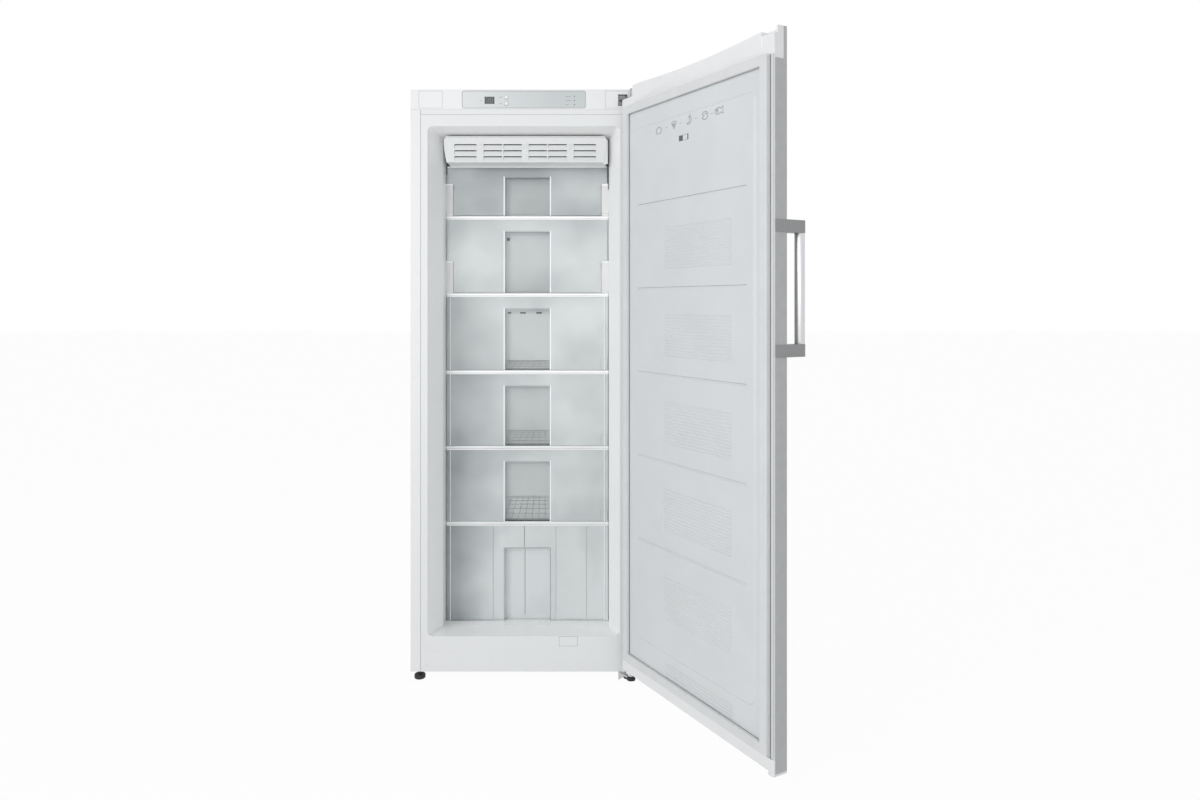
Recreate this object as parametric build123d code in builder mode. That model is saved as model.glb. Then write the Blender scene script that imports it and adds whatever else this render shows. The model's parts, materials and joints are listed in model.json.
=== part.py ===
"""Upright freezer with its door standing open, as separate pieces in one frame.

Millimetres. +X is the viewer's right, +Y runs from the front to the back, +Z is up.
Everything is drawn from the middle of the cabinet's front face at floor level, with the
door closed. The door's pieces then turn about the hinge to the stored, open pose, and all
pieces move together so that the origin lies under the middle of the whole, on the floor.
"""

from build123d import *
from math import cos, radians, sin
import os

os.makedirs("parts", exist_ok=True)

# ---------------------------------------------------------------- cabinet sizes
cabinet_width = 595.0
cabinet_height = 1550.0  # floor to the top of the cabinet
cabinet_depth = 548.0  # front flange to back panel
foot_height = 22.0  # floor to the underside of the cabinet
sheet = 1.0  # steel of the shell and the back panel
base_sheet = 1.2  # steel of the base tray
steel_flange = 26.5  # width of the shell's folded front flanges
shell_corner = 2.0  # rounding of the shell's front edges

fascia_height = 53.0
fascia_depth = 24.0
fascia_wall = 4.0

side_wall = 73.5  # cabinet side to the inside of the liner
ceiling_wall = 116.0
floor_wall = 93.0
back_wall = 62.0
liner_wall = 2.0
liner_corner = 8.0  # rounding of the liner's upright back edges
bevel_depth = 68.0  # how far back the entry bevel runs
bevel_side = 28.5
bevel_top = 19.0
bevel_bottom = 0.5
bevel_corner = 12.0

bay_depth = 203.0  # compressor bay, from the back panel forward
bay_height = 308.0
step_wall = 55.0  # insulation between the bay and the bottom compartment

# ---------------------------------------------------------------- shelves and drawers
lowest_shelf = 386.0  # top of the glass above the bottom compartment
top_compartment = 138.5  # top of the highest glass to the evaporator housing
flap_extra = 4.1  # a flap's compartment is this much taller than a drawer's
glass = 4.0
shelf_play = 0.5  # glass to liner at the sides
ledge_width = 10.0
ledge_height = 8.0
trim_front = 112.0  # front of the shelf trims behind the cabinet's front
trim_depth = 6.0
trim_above = 2.0  # trim above the glass
trim_below = 2.0  # trim below the glass
duct_depth = 22.0
duct_wall = 2.0
shelf_behind = 6.0  # shelf to duct cover
slide_gap = 0.6  # a drawer above what it slides on, and a front above a trim
pad_height = 0.25  # low pads on the floor, in front of the bottom drawer
front_gap = 3.0  # top of a drawer front or flap below the trim above it
panel_wall = 3.0  # clear fronts and flaps
grip_width = 124.0
grip_depth = 16.0
grip_lintel = 36.0  # top of the grip recess below the trim above
bottom_lintel = 66.0  # the same, in the tall bottom drawer
housing_lintel = 31.0  # the same, in the flap under the evaporator housing
basket_wall = 2.0
basket_height = 150.0
drawer_play = 1.0  # drawer to the ledges, each side
slot_columns = 8
slot_rows = 6
slot_length = 34.0
slot_width = 12.0
ear_height = 30.0
ear_width = 8.0
wing_wall = 1.5  # thin wings at the sides of a drawer's front
wing_play = 2.0  # wing to the liner, each side

# ---------------------------------------------------------------- flaps
pivot_above_shelf = 79.0
pivot_radius = 3.0
pivot_play = 0.05
bracket_width = 19.0
bracket_depth = 24.0
bracket_ahead = 7.5  # bracket in front of the pivot
bracket_top = 7.0  # bracket above the pivot
bracket_foot = 10.0  # bracket above the shelf
flap_play = 1.5  # flap to bracket, each side
flap_shoulder = 12.0  # the flap's wide part begins this far above the pivot
flap_side_play = 4.0

# ---------------------------------------------------------------- evaporator housing
cover_front = 42.0
cover_height = 67.0
cover_top_gap = 1.5
cover_wall = 2.5
cover_side_gap = 6.5  # housing to the liner, each side
cover_taper = 7.5  # the housing is this much narrower at its foot, each side
cover_corner = 8.0
cover_behind = 31.0  # housing to the back of the liner
louvre_height = 13.0
louvre_pitch = 16.1
louvre_first = 18.5  # top of the upper louvres below the cover's top
louvre_shares = [(0.043, 0.276), (0.295, 0.529), (0.619, 0.9)]  # of the half width
blade_rise = 12.0
blade_run = 8.0
blade_wall = 1.5
screw_spacing = 120.5
screw_drop = 27.0
screw_head_radius = 4.0
screw_radius = 2.0
post_width = 14.0
post_hanger = 62.0  # front of the part that hangs from the ceiling

tube_radius = 4.0
evaporator_side_gap = 54.0  # end of the tube's bends to the liner
evaporator_passes = 8
evaporator_to_fan = 37.0
evaporator_front = 100.0
fin_count = 23
fin_end = 16.0  # outermost fins to the ends of the tube's bends
fin_wall = 0.8
fin_margin = 12.0
fin_height = 52.0
fan_back = 102.0  # fan axis in front of the liner's back
fan_radius = 60.0
fan_height = 26.0
fan_hub_radius = 20.0
fan_blades = 11
fan_shaft_radius = 3.0
running_fit = 0.05
motor_radius = 30.0
motor_height = 24.0

# ---------------------------------------------------------------- control panel
panel_width = 323.6
panel_height = 45.0
panel_below_top = 4.0
panel_gap = 0.4
panel_pocket = 3.0
panel_sunk = 0.3
button_x = -46.0
button_pitch = 16.6
button_radius = 5.0
button_play = 0.3
button_proud = 1.2
button_flange = 1.2
display_x = -90.0
display_width = 26.0
display_height = 19.0
lamp_x = 133.0
lamp_radius = 1.5
lamp_pitch = 10.9
cover_plate_end = 22.0  # cabinet side to the cover plate
cover_plate_width = 61.5
cover_plate_wall = 2.0
hinge_slot_end = 25.5  # cabinet side to the slot of the hinge's arm
hinge_slot_width = 24.0

# ---------------------------------------------------------------- door
door_bottom = 29.0
door_over_cabinet = 1.7  # top of the door above the top of the cabinet
door_thickness = 34.7  # outer face to the liner's flange
door_gap = 10.0  # liner's flange to the cabinet's front, filled by the gasket
door_corner = 4.0  # rounding of the door's upright front edges
seal_gap = 0.6
door_open_angle = 119.6
hinge_inset = 17.5  # hinge axis from the cabinet's side
hinge_forward = 25.2  # hinge axis in front of the cabinet's front
hinge_pin_radius = 5.0
bush_wall = 3.0
bush_height = 19.0
door_liner_wall = 2.0
liner_edge_inset = 0.5
return_flange = 9.5
gasket_end = 15.5  # door's side to the gasket
gasket_width = 21.0
gasket_below_top = 57.0
gasket_bottom = 68.3
gasket_groove = 2.0
shadow_groove = 3.0
panel_inset = 21.0  # gasket to the raised panel, at the sides
panel_low = 146.5
panel_below_gasket = 63.7
panel_raise = 4.0
panel_corner = 25.0
groove_first = 397.5
groove_last_drop = 196.7  # top groove below the top of the raised panel
groove_count = 5
groove_width = 5.0
groove_depth = 1.4
groove_inset = 26.0
cap_height = 57.7
cap_joint_bottom = 64.5
cap_deck_drop = 6.0  # deck of the top cap below the top of the skin
cap_dip = 7.5
cap_front_strip = 5.0
cap_end = 40.5  # the lowered end of the deck, at the free side
cap_end_drop = 10.0
cap_post_wall = 4.0  # post that stands at the end of the deck
cap_post_reach = 9.0  # post to the liner's flange
cap_skirt = 9.0
cap_skirt_back = 11.0  # outer face to the side skirt of the top cap
bottom_lip = 8.0  # part of the bottom cap that shows below the skin
bottom_end = 19.5
boss_wall = 4.0
cap_corner = 7.0
notch_radius = 36.0
notch_depth = 33.7
notch_front_wall = 3.0
notch_end_wall = 3.5
notch_end_depth = 8.0

# ---------------------------------------------------------------- handle
handle_below_top = 392.7
handle_length = 281.0
block_height = 26.0
block_radius = 11.5  # rounded end of the blocks, half their width
block_proud = 1.5
bar_stand_off = 41.0  # outer face to the axis of the bar
bar_radius = 10.7
spigot_radius = 7.0
spigot_length = 14.0
socket_play = 0.05

# ---------------------------------------------------------------- hinges, feet, rollers
bracket_steel = 3.0
lower_bracket_steel = 4.0
hinge_arm_half = 8.0
arm_gap = 2.0  # hinge arm above the notch floor
pin_drop = 20.0
pin_rise = 33.0
pin_end = 1.0  # end of a pin to the bottom of its bush
bush_lift = 0.4  # lower bush above its bracket
foot_inset = 22.0
foot_back = 15.0
foot_radius = 14.5
foot_disc = 11.0
foot_stem_radius = 5.0
foot_stem_top = 42.0
boss_radius = 9.0
roller_radius = 10.5
roller_width = 14.0
roller_inset = 35.5
roller_from_back = 43.0
roller_side_gap = 0.6
ear_steel = 2.0
axle_radius = 3.0

# ---------------------------------------------------------------- machinery
compressor_x = 110.0
compressor_radius = 74.0
compressor_height = 172.0
compressor_plate = 3.0
mount_x = 88.0
mount_y = 62.0
grommet_radius = 12.0
grommet_height = 18.0
relay_width = 46.0
pan_width = 190.0
pan_length = 140.0
pan_height = 32.0
pan_wall = 2.0
condenser_tube_radius = 2.5
condenser_inset = 65.5  # cabinet side to the condenser's bends
condenser_low = 400.0
condenser_below_top = 96.0
condenser_passes = 18
condenser_stand_off = 20.0
wire_radius = 0.8
wire_count = 31
wire_end = 7.0  # outermost wires to the ends of the condenser's bends
wire_over = 14.0
wire_gap = 0.05
clip_width = 12.0
gland_radius = 9.0
gland_bore = 4.0
gland_length = 24.0
gland_inset = 67.5

# ---------------------------------------------------------------- worked out from these
half = cabinet_width / 2
seam_x = half - steel_flange
fascia_bottom = cabinet_height - fascia_height
cavity_half = half - side_wall
cavity_top = cabinet_height - ceiling_wall
cavity_floor = foot_height + floor_wall
cavity_back = cabinet_depth - back_wall
bay_front = cabinet_depth - bay_depth
bay_top = foot_height + bay_height
step_back = bay_front - step_wall
step_top = lowest_shelf - glass
duct_front = cavity_back - duct_depth
cover_top = cavity_top - cover_top_gap
cover_bottom = cover_top - cover_height
top_shelf = cover_bottom - top_compartment
drawer_pitch = (top_shelf - lowest_shelf - 2 * flap_extra) / 4
flap_pitch = drawer_pitch + flap_extra
shelf_levels = [lowest_shelf]
for pitch in (drawer_pitch, drawer_pitch, flap_pitch, flap_pitch):
    shelf_levels.append(shelf_levels[-1] + pitch)
shelf_back = duct_front - shelf_behind
trim_back = trim_front + trim_depth
ledge_inner = cavity_half - ledge_width
front_half = ledge_inner - drawer_play
front_back = trim_front + panel_wall
cover_half = cavity_half - cover_side_gap
cover_foot_half = cover_half - cover_taper
cover_length = cavity_back - cover_behind - cover_front
louvre_spans = [(low * cover_foot_half, high * cover_foot_half) for low, high in louvre_shares]
fan_y = cavity_back - fan_back
evaporator_back = fan_y - fan_radius - evaporator_to_fan - fin_margin
evaporator_pitch = (evaporator_back - evaporator_front) / (evaporator_passes - 1)
evaporator_half = cavity_half - evaporator_side_gap
fin_pitch = 2 * (evaporator_half - fin_end) / (fin_count - 1)
fan_bottom = cover_bottom + cover_wall + 6.0
panel_middle = cabinet_height - panel_below_top - panel_height / 2

cover_plate_outer = half - cover_plate_end
cover_plate_inner = cover_plate_outer - cover_plate_width
hinge_slot_outer = half - hinge_slot_end
hinge_slot_inner = hinge_slot_outer - hinge_slot_width

hinge_x = half - hinge_inset
hinge_axis = Axis((hinge_x, -hinge_forward, 0), (0, 0, 1))
door_half = half
door_top = cabinet_height + door_over_cabinet
cap_joint_top = door_top - cap_height
notch_floor = door_top - notch_depth
door_back = -door_gap
door_front = door_back - door_thickness
edge_line = door_back - door_liner_wall
liner_half = door_half - liner_edge_inset
gasket_outer = door_half - gasket_end
gasket_inner = gasket_outer - gasket_width
gasket_top = door_top - gasket_below_top
panel_half = gasket_inner - panel_inset
panel_high = gasket_top - panel_below_gasket
groove_half = panel_half - groove_inset
groove_pitch = (panel_high - groove_last_drop - groove_first) / (groove_count - 1)
handle_high = door_top - handle_below_top
handle_low = handle_high - handle_length
arm_bottom = notch_floor + arm_gap
foot_x = half - foot_inset
roller_x = half - roller_inset
roller_y = cabinet_depth - roller_from_back
compressor_y = cabinet_depth - bay_depth / 2
compressor_foot = foot_height + base_sheet + grommet_height
compressor_top = compressor_foot + compressor_plate + compressor_height
condenser_y = cabinet_depth + condenser_stand_off + condenser_tube_radius
condenser_half = half - condenser_inset
condenser_high = cabinet_height - condenser_below_top
condenser_pitch = (condenser_high - condenser_low) / (condenser_passes - 1)
wire_pitch = 2 * (condenser_half - wire_end) / (wire_count - 1)
gland_x = gland_inset - half
skin_inner = door_half - sheet
skin_bottom = door_bottom + bottom_lip

pieces = {}


def keep(name, piece, on_door=False):
    """Files a finished piece under its name, and turns a door piece to the open pose."""
    pieces[name] = piece.rotate(hinge_axis, door_open_angle) if on_door else piece


def block(x, y, z, mode=Mode.ADD):
    """A box between pairs of X, Y and Z limits."""
    middle = [(low + high) / 2 for low, high in (x, y, z)]
    with Locations(tuple(middle)):
        Box(x[1] - x[0], y[1] - y[0], z[1] - z[0], mode=mode)


def round_front(half_width, y, z, radius, mode=Mode.ADD):
    """An upright block whose two front corners are rounded."""
    with BuildSketch(Plane.XY.offset(z[0])) as outline:
        with Locations((0, (y[0] + y[1]) / 2)):
            Rectangle(2 * half_width, y[1] - y[0])
        fillet(outline.vertices().group_by(Axis.Y)[0], radius)
    extrude(outline.sketch, amount=z[1] - z[0], mode=mode)


def rod(centre, radius, length, along="Z", mode=Mode.ADD):
    """A round bar centred on a point, along one of the axes."""
    turns = {"X": (0, 90, 0), "Y": (90, 0, 0), "Z": (0, 0, 0)}
    with Locations(centre):
        Cylinder(radius, length, rotation=turns[along], mode=mode)


def both(low, high):
    """A pair of limits on the right, and its mirror image on the left."""
    return ((low, high), (-high, -low))


# ================================================================ cabinet
def cavity(grow):
    """The hollow of the cabinet, larger all round by grow."""
    wide = cavity_half + grow
    with BuildPart() as hollow:
        block((-wide, wide), (bevel_depth, cavity_back + grow), (step_top - grow, cavity_top + grow))
        block((-wide, wide), (bevel_depth, step_back + grow), (cavity_floor - grow, cavity_top + grow))
        back_edges = hollow.edges().filter_by(Axis.Z).group_by(Axis.Y)[-1]
        fillet(back_edges, liner_corner + grow)
        low = cavity_floor - grow
        high = cavity_top + grow
        with BuildSketch(Plane.XZ):
            with Locations((0, (low - bevel_bottom + high + bevel_top) / 2)):
                RectangleRounded(
                    2 * (wide + bevel_side),
                    high + bevel_top - low + bevel_bottom,
                    bevel_corner + grow,
                )
        with BuildSketch(Plane.XZ.offset(-bevel_depth)):
            with Locations((0, (low + high) / 2)):
                RectangleRounded(2 * wide, high - low, grow + 1)
        loft()
    return hollow.part


cavity_inside = cavity(0)
cavity_outside = cavity(liner_wall)

with BuildPart() as outer_shell:
    round_front(half, (0, cabinet_depth), (foot_height, cabinet_height), shell_corner)
    inside_z = (foot_height, cabinet_height - sheet)
    round_front(half - sheet, (sheet, cabinet_depth), inside_z, shell_corner - sheet, Mode.SUBTRACT)
    block((-seam_x, seam_x), (0, sheet), (foot_height, fascia_bottom), Mode.SUBTRACT)
    block((-half, half), (0, fascia_depth), (fascia_bottom, cabinet_height), Mode.SUBTRACT)
keep("outer_shell", outer_shell.part)

with BuildPart() as back_panel:
    block(
        (-half + sheet, half - sheet),
        (cabinet_depth - sheet, cabinet_depth),
        (bay_top, cabinet_height - sheet),
    )
    clip_levels = [condenser_low + condenser_pitch * n for n in (2, condenser_passes - 3)]
    for level in clip_levels:
        for x in both(condenser_half - 60, condenser_half - 60 + clip_width):
            clip_end = condenser_y - condenser_tube_radius
            block(x, (cabinet_depth, clip_end), (level - clip_width / 2, level + clip_width / 2))
keep("back_panel", back_panel.part)

tray_top = foot_height + base_sheet
with BuildPart() as base_tray:
    wide = (-half + sheet, half - sheet)
    block(wide, (liner_wall, cabinet_depth), (foot_height, tray_top))
    block(wide, (bay_front - base_sheet, bay_front), (foot_height, bay_top))
    block(wide, (bay_front, cabinet_depth - sheet), (bay_top - base_sheet, bay_top))
    for side in (-1, 1):
        boss_middle = (side * foot_x, foot_back, (tray_top + foot_stem_top) / 2)
        rod(boss_middle, boss_radius, foot_stem_top - tray_top)
        for face in (-1, 1):
            ear_middle = side * roller_x + face * (roller_width / 2 + roller_side_gap + ear_steel / 2)
            block(
                (ear_middle - ear_steel / 2, ear_middle + ear_steel / 2),
                (roller_y - 9, roller_y + 9),
                (roller_radius - axle_radius - 2.5, foot_height),
            )
    for side in (-1, 1):
        stem_hole = foot_stem_radius + running_fit
        rod((side * foot_x, foot_back, foot_height), stem_hole, 60, mode=Mode.SUBTRACT)
        rod((side * roller_x, roller_y, roller_radius), axle_radius, 40, "X", Mode.SUBTRACT)
keep("base_tray", base_tray.part)

post_back = post_hanger + 12
screw_level = cover_top - screw_drop
with BuildPart() as inner_liner:
    add(cavity_outside)
    block((-seam_x, seam_x), (0, liner_wall), (foot_height, fascia_bottom))
    add(cavity_inside, mode=Mode.SUBTRACT)
    for level in shelf_levels:
        ledge_back = shelf_back if level > lowest_shelf else step_back
        for x in both(ledge_inner, cavity_half + liner_wall / 2):
            block(x, (trim_back + 1, ledge_back), (level - glass - ledge_height, level - glass))
    for n in (-1, 0, 1):
        post = n * screw_spacing
        post_x = (post - post_width / 2, post + post_width / 2)
        post_low = screw_level - post_width / 2
        block(post_x, (cover_front + cover_wall, post_back), (post_low, screw_level + post_width / 2))
        block(post_x, (post_hanger, post_back), (post_low, cavity_top + liner_wall))
        shank_middle = (post, cover_front + cover_wall + 6, screw_level)
        rod(shank_middle, screw_radius, 12, "Y", Mode.SUBTRACT)
    for x in (-116, -23, 70, 164):
        block((x - 2, x + 2), (step_back - 2.5, step_back + 1), (cavity_floor + 4, step_top - 12))
    pad_y = (trim_front - 40, trim_front - 5)
    for x in (-134, -43, 48, 139):
        block((x - 18, x + 18), pad_y, (cavity_floor - 1, cavity_floor + pad_height))
keep("inner_liner", inner_liner.part)

with BuildPart() as cabinet_insulation:
    wide = (-half + sheet, half - sheet)
    block(wide, (liner_wall, cabinet_depth - sheet), (tray_top, cabinet_height - sheet))
    block(wide, (0, fascia_depth), (fascia_bottom, cabinet_height), Mode.SUBTRACT)
    block(wide, (bay_front - base_sheet, cabinet_depth), (foot_height, bay_top), Mode.SUBTRACT)
    add(cavity_outside, mode=Mode.SUBTRACT)
    for side in (-1, 1):
        boss_length = 2 * (foot_stem_top - tray_top)
        rod((side * foot_x, foot_back, tray_top), boss_radius, boss_length, mode=Mode.SUBTRACT)
    bracket_holes = [(hinge_x - 22, 62, tray_top), (hinge_x + 6, 62, tray_top)]
    for hole in bracket_holes:
        rod(hole, screw_radius + 0.6, 20, mode=Mode.SUBTRACT)
keep("cabinet_insulation", cabinet_insulation.part)

# ================================================================ fascia and controls
button_levels = [panel_middle + 6.1 - n * button_pitch for n in (0, 1)]
lamp_levels = [panel_middle + (1 - n) * lamp_pitch - 2.7 for n in range(3)]
panel_low_edge = panel_middle - panel_height / 2
panel_high_edge = panel_middle + panel_height / 2
arm_back = fascia_depth

with BuildPart() as control_fascia:
    round_front(half, (0, fascia_depth), (fascia_bottom, cabinet_height), shell_corner)
    block(
        (-half + fascia_wall, half - fascia_wall),
        (fascia_wall, fascia_depth),
        (fascia_bottom + sheet, cabinet_height - 2 * sheet),
        Mode.SUBTRACT,
    )
    with BuildSketch(Plane.XZ):
        with Locations((0, panel_middle)):
            RectangleRounded(panel_width, panel_height, 5)
    extrude(amount=-panel_pocket, mode=Mode.SUBTRACT)
    for x in ((-cover_plate_outer, -cover_plate_inner), (cover_plate_inner, hinge_slot_inner - 1)):
        block(x, (0, cover_plate_wall), (panel_low_edge, panel_high_edge), Mode.SUBTRACT)
    block(
        (hinge_slot_inner, hinge_slot_outer),
        (0, fascia_wall),
        (arm_bottom - 14, arm_bottom + bracket_steel + 14),
        Mode.SUBTRACT,
    )
    for level in button_levels:
        rod((button_x, fascia_wall, level), button_radius + 2, 2 * fascia_wall, "Y", Mode.SUBTRACT)
keep("control_fascia", control_fascia.part)

with BuildPart() as control_panel:
    with BuildSketch(Plane.XZ.offset(-panel_sunk)):
        with Locations((0, panel_middle)):
            RectangleRounded(panel_width - 2 * panel_gap, panel_height - 2 * panel_gap, 5 - panel_gap)
    extrude(amount=panel_sunk - panel_pocket)
    display_x_limits = (display_x - display_width / 2, display_x + display_width / 2)
    display_z_limits = (panel_middle - 2 - display_height / 2, panel_middle - 2 + display_height / 2)
    block(display_x_limits, (0, panel_pocket), display_z_limits, Mode.SUBTRACT)
    for level in button_levels:
        rod((button_x, 0, level), button_radius + button_play, 4 * panel_pocket, "Y", Mode.SUBTRACT)
    for level in lamp_levels:
        rod((lamp_x, 0, level), lamp_radius, 4 * panel_pocket, "Y", Mode.SUBTRACT)
keep("control_panel", control_panel.part)

with BuildPart() as display_window:
    block(display_x_limits, (panel_sunk, panel_pocket), display_z_limits)
keep("display_window", display_window.part)

with BuildPart() as indicator_lamps:
    for level in lamp_levels:
        rod((lamp_x, panel_pocket / 2, level), lamp_radius, panel_pocket, "Y")
keep("indicator_lamps", indicator_lamps.part)

button_back = panel_pocket + button_play
for name, level in zip(("power_button", "set_button"), button_levels):
    with BuildPart() as button:
        button_middle = (button_x, (button_back - button_proud) / 2, level)
        rod(button_middle, button_radius, button_back + button_proud, "Y")
        front_rim = button.edges().filter_by(GeomType.CIRCLE).sort_by(Axis.Y)[0]
        fillet(front_rim, 0.8)
        flange_middle = (button_x, button_back + button_flange / 2, level)
        rod(flange_middle, button_radius + 1.2, button_flange, "Y")
    keep(name, button.part)

with BuildPart() as hinge_covers:
    play = 0.2
    for x in ((-cover_plate_outer, -cover_plate_inner), (cover_plate_inner, hinge_slot_inner - 1)):
        block(
            (x[0] + play, x[1] - play),
            (0, cover_plate_wall),
            (panel_low_edge + play, panel_high_edge - play),
        )
keep("hinge_covers", hinge_covers.part)

# ================================================================ evaporator housing
with BuildPart() as evaporator_cover:
    with BuildSketch(Plane.XZ.offset(-cover_front)) as cover_outline:
        with BuildLine():
            Line((-cover_half, cover_top), (cover_half, cover_top))
            right_low = (cover_foot_half, cover_bottom)
            right_mid = (cover_half - 1.8, cover_bottom + 30)
            ThreePointArc((cover_half, cover_top), right_mid, right_low)
            Line(right_low, (-cover_foot_half, cover_bottom))
            left_mid = (-right_mid[0], right_mid[1])
            ThreePointArc((-cover_foot_half, cover_bottom), left_mid, (-cover_half, cover_top))
        make_face()
        fillet(cover_outline.vertices().group_by(Axis.Y)[-1], cover_corner)
    extrude(amount=-cover_length)
    with BuildSketch(Plane.XZ.offset(-cover_front - cover_wall)):
        offset(cover_outline.sketch, amount=-cover_wall)
        with Locations((0, cover_top)):
            Rectangle(2 * (cover_half - cover_corner - 1), 2 * cover_wall + 2)
    extrude(amount=-cover_length, mode=Mode.SUBTRACT)
    for row in range(3):
        window_top = cover_top - louvre_first - row * louvre_pitch
        for span in louvre_spans:
            for x in both(*span):
                window = (window_top - louvre_height, window_top)
                block(x, (cover_front, cover_front + cover_wall), window, Mode.SUBTRACT)
    for row in range(3):
        window_top = cover_top - louvre_first - row * louvre_pitch
        foot = window_top - louvre_height
        for span in louvre_spans:
            for x in both(*span):
                with BuildSketch(Plane.YZ.offset(x[0])):
                    Polygon(
                        (cover_front, foot - 0.5),
                        (cover_front + cover_wall, foot - 0.5),
                        (cover_front + blade_run + blade_wall, foot + blade_rise),
                        (cover_front + blade_run, foot + blade_rise),
                        (cover_front, foot + 0.6),
                        align=None,
                    )
                extrude(amount=x[1] - x[0])
    for n in (-1, 0, 1):
        x = n * screw_spacing
        rod((x, cover_front, screw_level), 5.5, 2.4, "Y", Mode.SUBTRACT)
        with BuildSketch(Plane.XZ.offset(-cover_front)):
            Polygon(
                (x - 5.4, screw_level + 1),
                (x + 2, screw_level - 5.2),
                (x + 8, screw_level + 12),
                align=None,
            )
        extrude(amount=-1.2, mode=Mode.SUBTRACT)
        rod((x, cover_front, screw_level), screw_radius + 0.2, 12, "Y", Mode.SUBTRACT)
    for x in both(150, 164):
        tab_back = cover_front + cover_length
        block(x, (tab_back - 14, tab_back), (cover_bottom + cover_wall / 2, cavity_top))
keep("evaporator_cover", evaporator_cover.part)

with BuildPart() as evaporator_tube:
    tube_z = cover_bottom + cover_wall + 0.3 + fin_height / 2
    bend = evaporator_pitch / 2
    corners = []
    for n in range(evaporator_passes):
        y = evaporator_front + n * evaporator_pitch
        ends = (-evaporator_half, evaporator_half) if n % 2 == 0 else (evaporator_half, -evaporator_half)
        corners.extend([(ends[0], y, tube_z), (ends[1], y, tube_z)])
    with BuildLine() as evaporator_route:
        FilletPolyline(*corners, radius=bend - 0.01)
    with BuildSketch(Plane(origin=corners[0], z_dir=(1, 0, 0))):
        Circle(tube_radius)
    sweep()
keep("evaporator_tube", evaporator_tube.part)

with BuildPart() as evaporator_fins:
    fin_low = evaporator_front - fin_margin
    fin_high = evaporator_front + (evaporator_passes - 1) * evaporator_pitch + fin_margin
    fin_start = -(fin_count - 1) / 2 * fin_pitch
    for n in range(fin_count):
        x = fin_start + n * fin_pitch
        with BuildSketch(Plane.YZ.offset(x - fin_wall / 2)):
            with Locations(((fin_low + fin_high) / 2, tube_z)):
                Rectangle(fin_high - fin_low, fin_height)
            holes = [(evaporator_front + k * evaporator_pitch, tube_z) for k in range(evaporator_passes)]
            with Locations(*holes):
                Circle(tube_radius + running_fit, mode=Mode.SUBTRACT)
        extrude(amount=fin_wall)
keep("evaporator_fins", evaporator_fins.part)

with BuildPart() as fan_rotor:
    fan_base = 2.0
    rod((0, fan_y, fan_bottom + fan_base / 2), fan_radius, fan_base)
    rod((0, fan_y, fan_bottom + fan_height / 2), fan_hub_radius, fan_height)
    blade_length = 26.0
    for n in range(fan_blades):
        turn = 360 / fan_blades * n
        blade_middle = fan_radius - 4 - blade_length / 2
        place = (
            blade_middle * cos(radians(turn)),
            fan_y + blade_middle * sin(radians(turn)),
            fan_bottom + fan_height / 2,
        )
        with Locations(Location(place, (0, 0, turn + 35))):
            Box(blade_length, 1.6, fan_height)
    shaft_bore = fan_shaft_radius + running_fit
    rod((0, fan_y, fan_bottom + fan_height / 2), shaft_bore, 2 * fan_height, mode=Mode.SUBTRACT)
keep("fan_rotor", fan_rotor.part)

with BuildPart() as fan_motor:
    rod((0, fan_y, cavity_top - motor_height / 2), motor_radius, motor_height)
    shaft_low = fan_bottom + 3
    rod((0, fan_y, (shaft_low + cavity_top) / 2), fan_shaft_radius, cavity_top - shaft_low)
keep("fan_motor", fan_motor.part)

with BuildPart() as air_duct:
    duct_half = cavity_half - shelf_play
    duct_low = step_top + shelf_play
    duct_high = cover_bottom - 1
    flange_back = cavity_back - liner_corner - shelf_play
    block((-duct_half, duct_half), (duct_front, flange_back), (duct_low, duct_high))
    block(
        (-duct_half + duct_wall, duct_half - duct_wall),
        (duct_front + duct_wall, flange_back),
        (duct_low, duct_high),
        Mode.SUBTRACT,
    )
    for level in shelf_levels:
        for row in range(3):
            for x in both(80, 150):
                low = level + 100 + row * 12
                block(x, (duct_front, duct_front + duct_wall), (low, low + 5), Mode.SUBTRACT)
keep("air_duct", air_duct.part)

# ================================================================ shelves
for n, level in enumerate(shelf_levels):
    with BuildPart() as shelf:
        shelf_half = cavity_half - shelf_play
        block((-shelf_half, shelf_half), (trim_back, shelf_back), (level - glass, level))
    keep(f"shelf_{n + 1}", shelf.part)

with BuildPart() as shelf_trims:
    for level in shelf_levels:
        trim_half = cavity_half - shelf_play
        trim_z = (level - glass - trim_below, level + trim_above)
        block((-trim_half, trim_half), (trim_front, trim_back), trim_z)
    trim_edges = shelf_trims.edges().filter_by(Axis.X).group_by(Axis.Y)[0]
    fillet(trim_edges, 1.5)
keep("shelf_trims", shelf_trims.part)

# ================================================================ flaps
pivot_y = trim_back
bracket_inner = cavity_half - bracket_width
flap_levels = shelf_levels[3:]
flap_tops = [shelf_levels[4] - glass - trim_below - front_gap, cover_bottom - front_gap]

with BuildPart() as flap_brackets:
    for level in flap_levels:
        pivot_z = level + pivot_above_shelf
        for x in both(bracket_inner, cavity_half):
            block(
                x,
                (pivot_y - bracket_ahead, pivot_y - bracket_ahead + bracket_depth),
                (level + bracket_foot, pivot_z + bracket_top),
            )
        rod((0, pivot_y, pivot_z), pivot_radius + pivot_play, cabinet_width / 2 + 140, "X", Mode.SUBTRACT)
keep("flap_brackets", flap_brackets.part)


def grip_pocket(low, high, deep_wall):
    """The finger recess in a clear front: a shallow box behind a window."""
    inner = grip_width / 2
    outer = inner + panel_wall
    back = front_back + grip_depth
    block((-outer, outer), (trim_front, back + deep_wall), (low, high + panel_wall))
    block((-inner, inner), (trim_front, back), (low, high), Mode.SUBTRACT)


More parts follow.
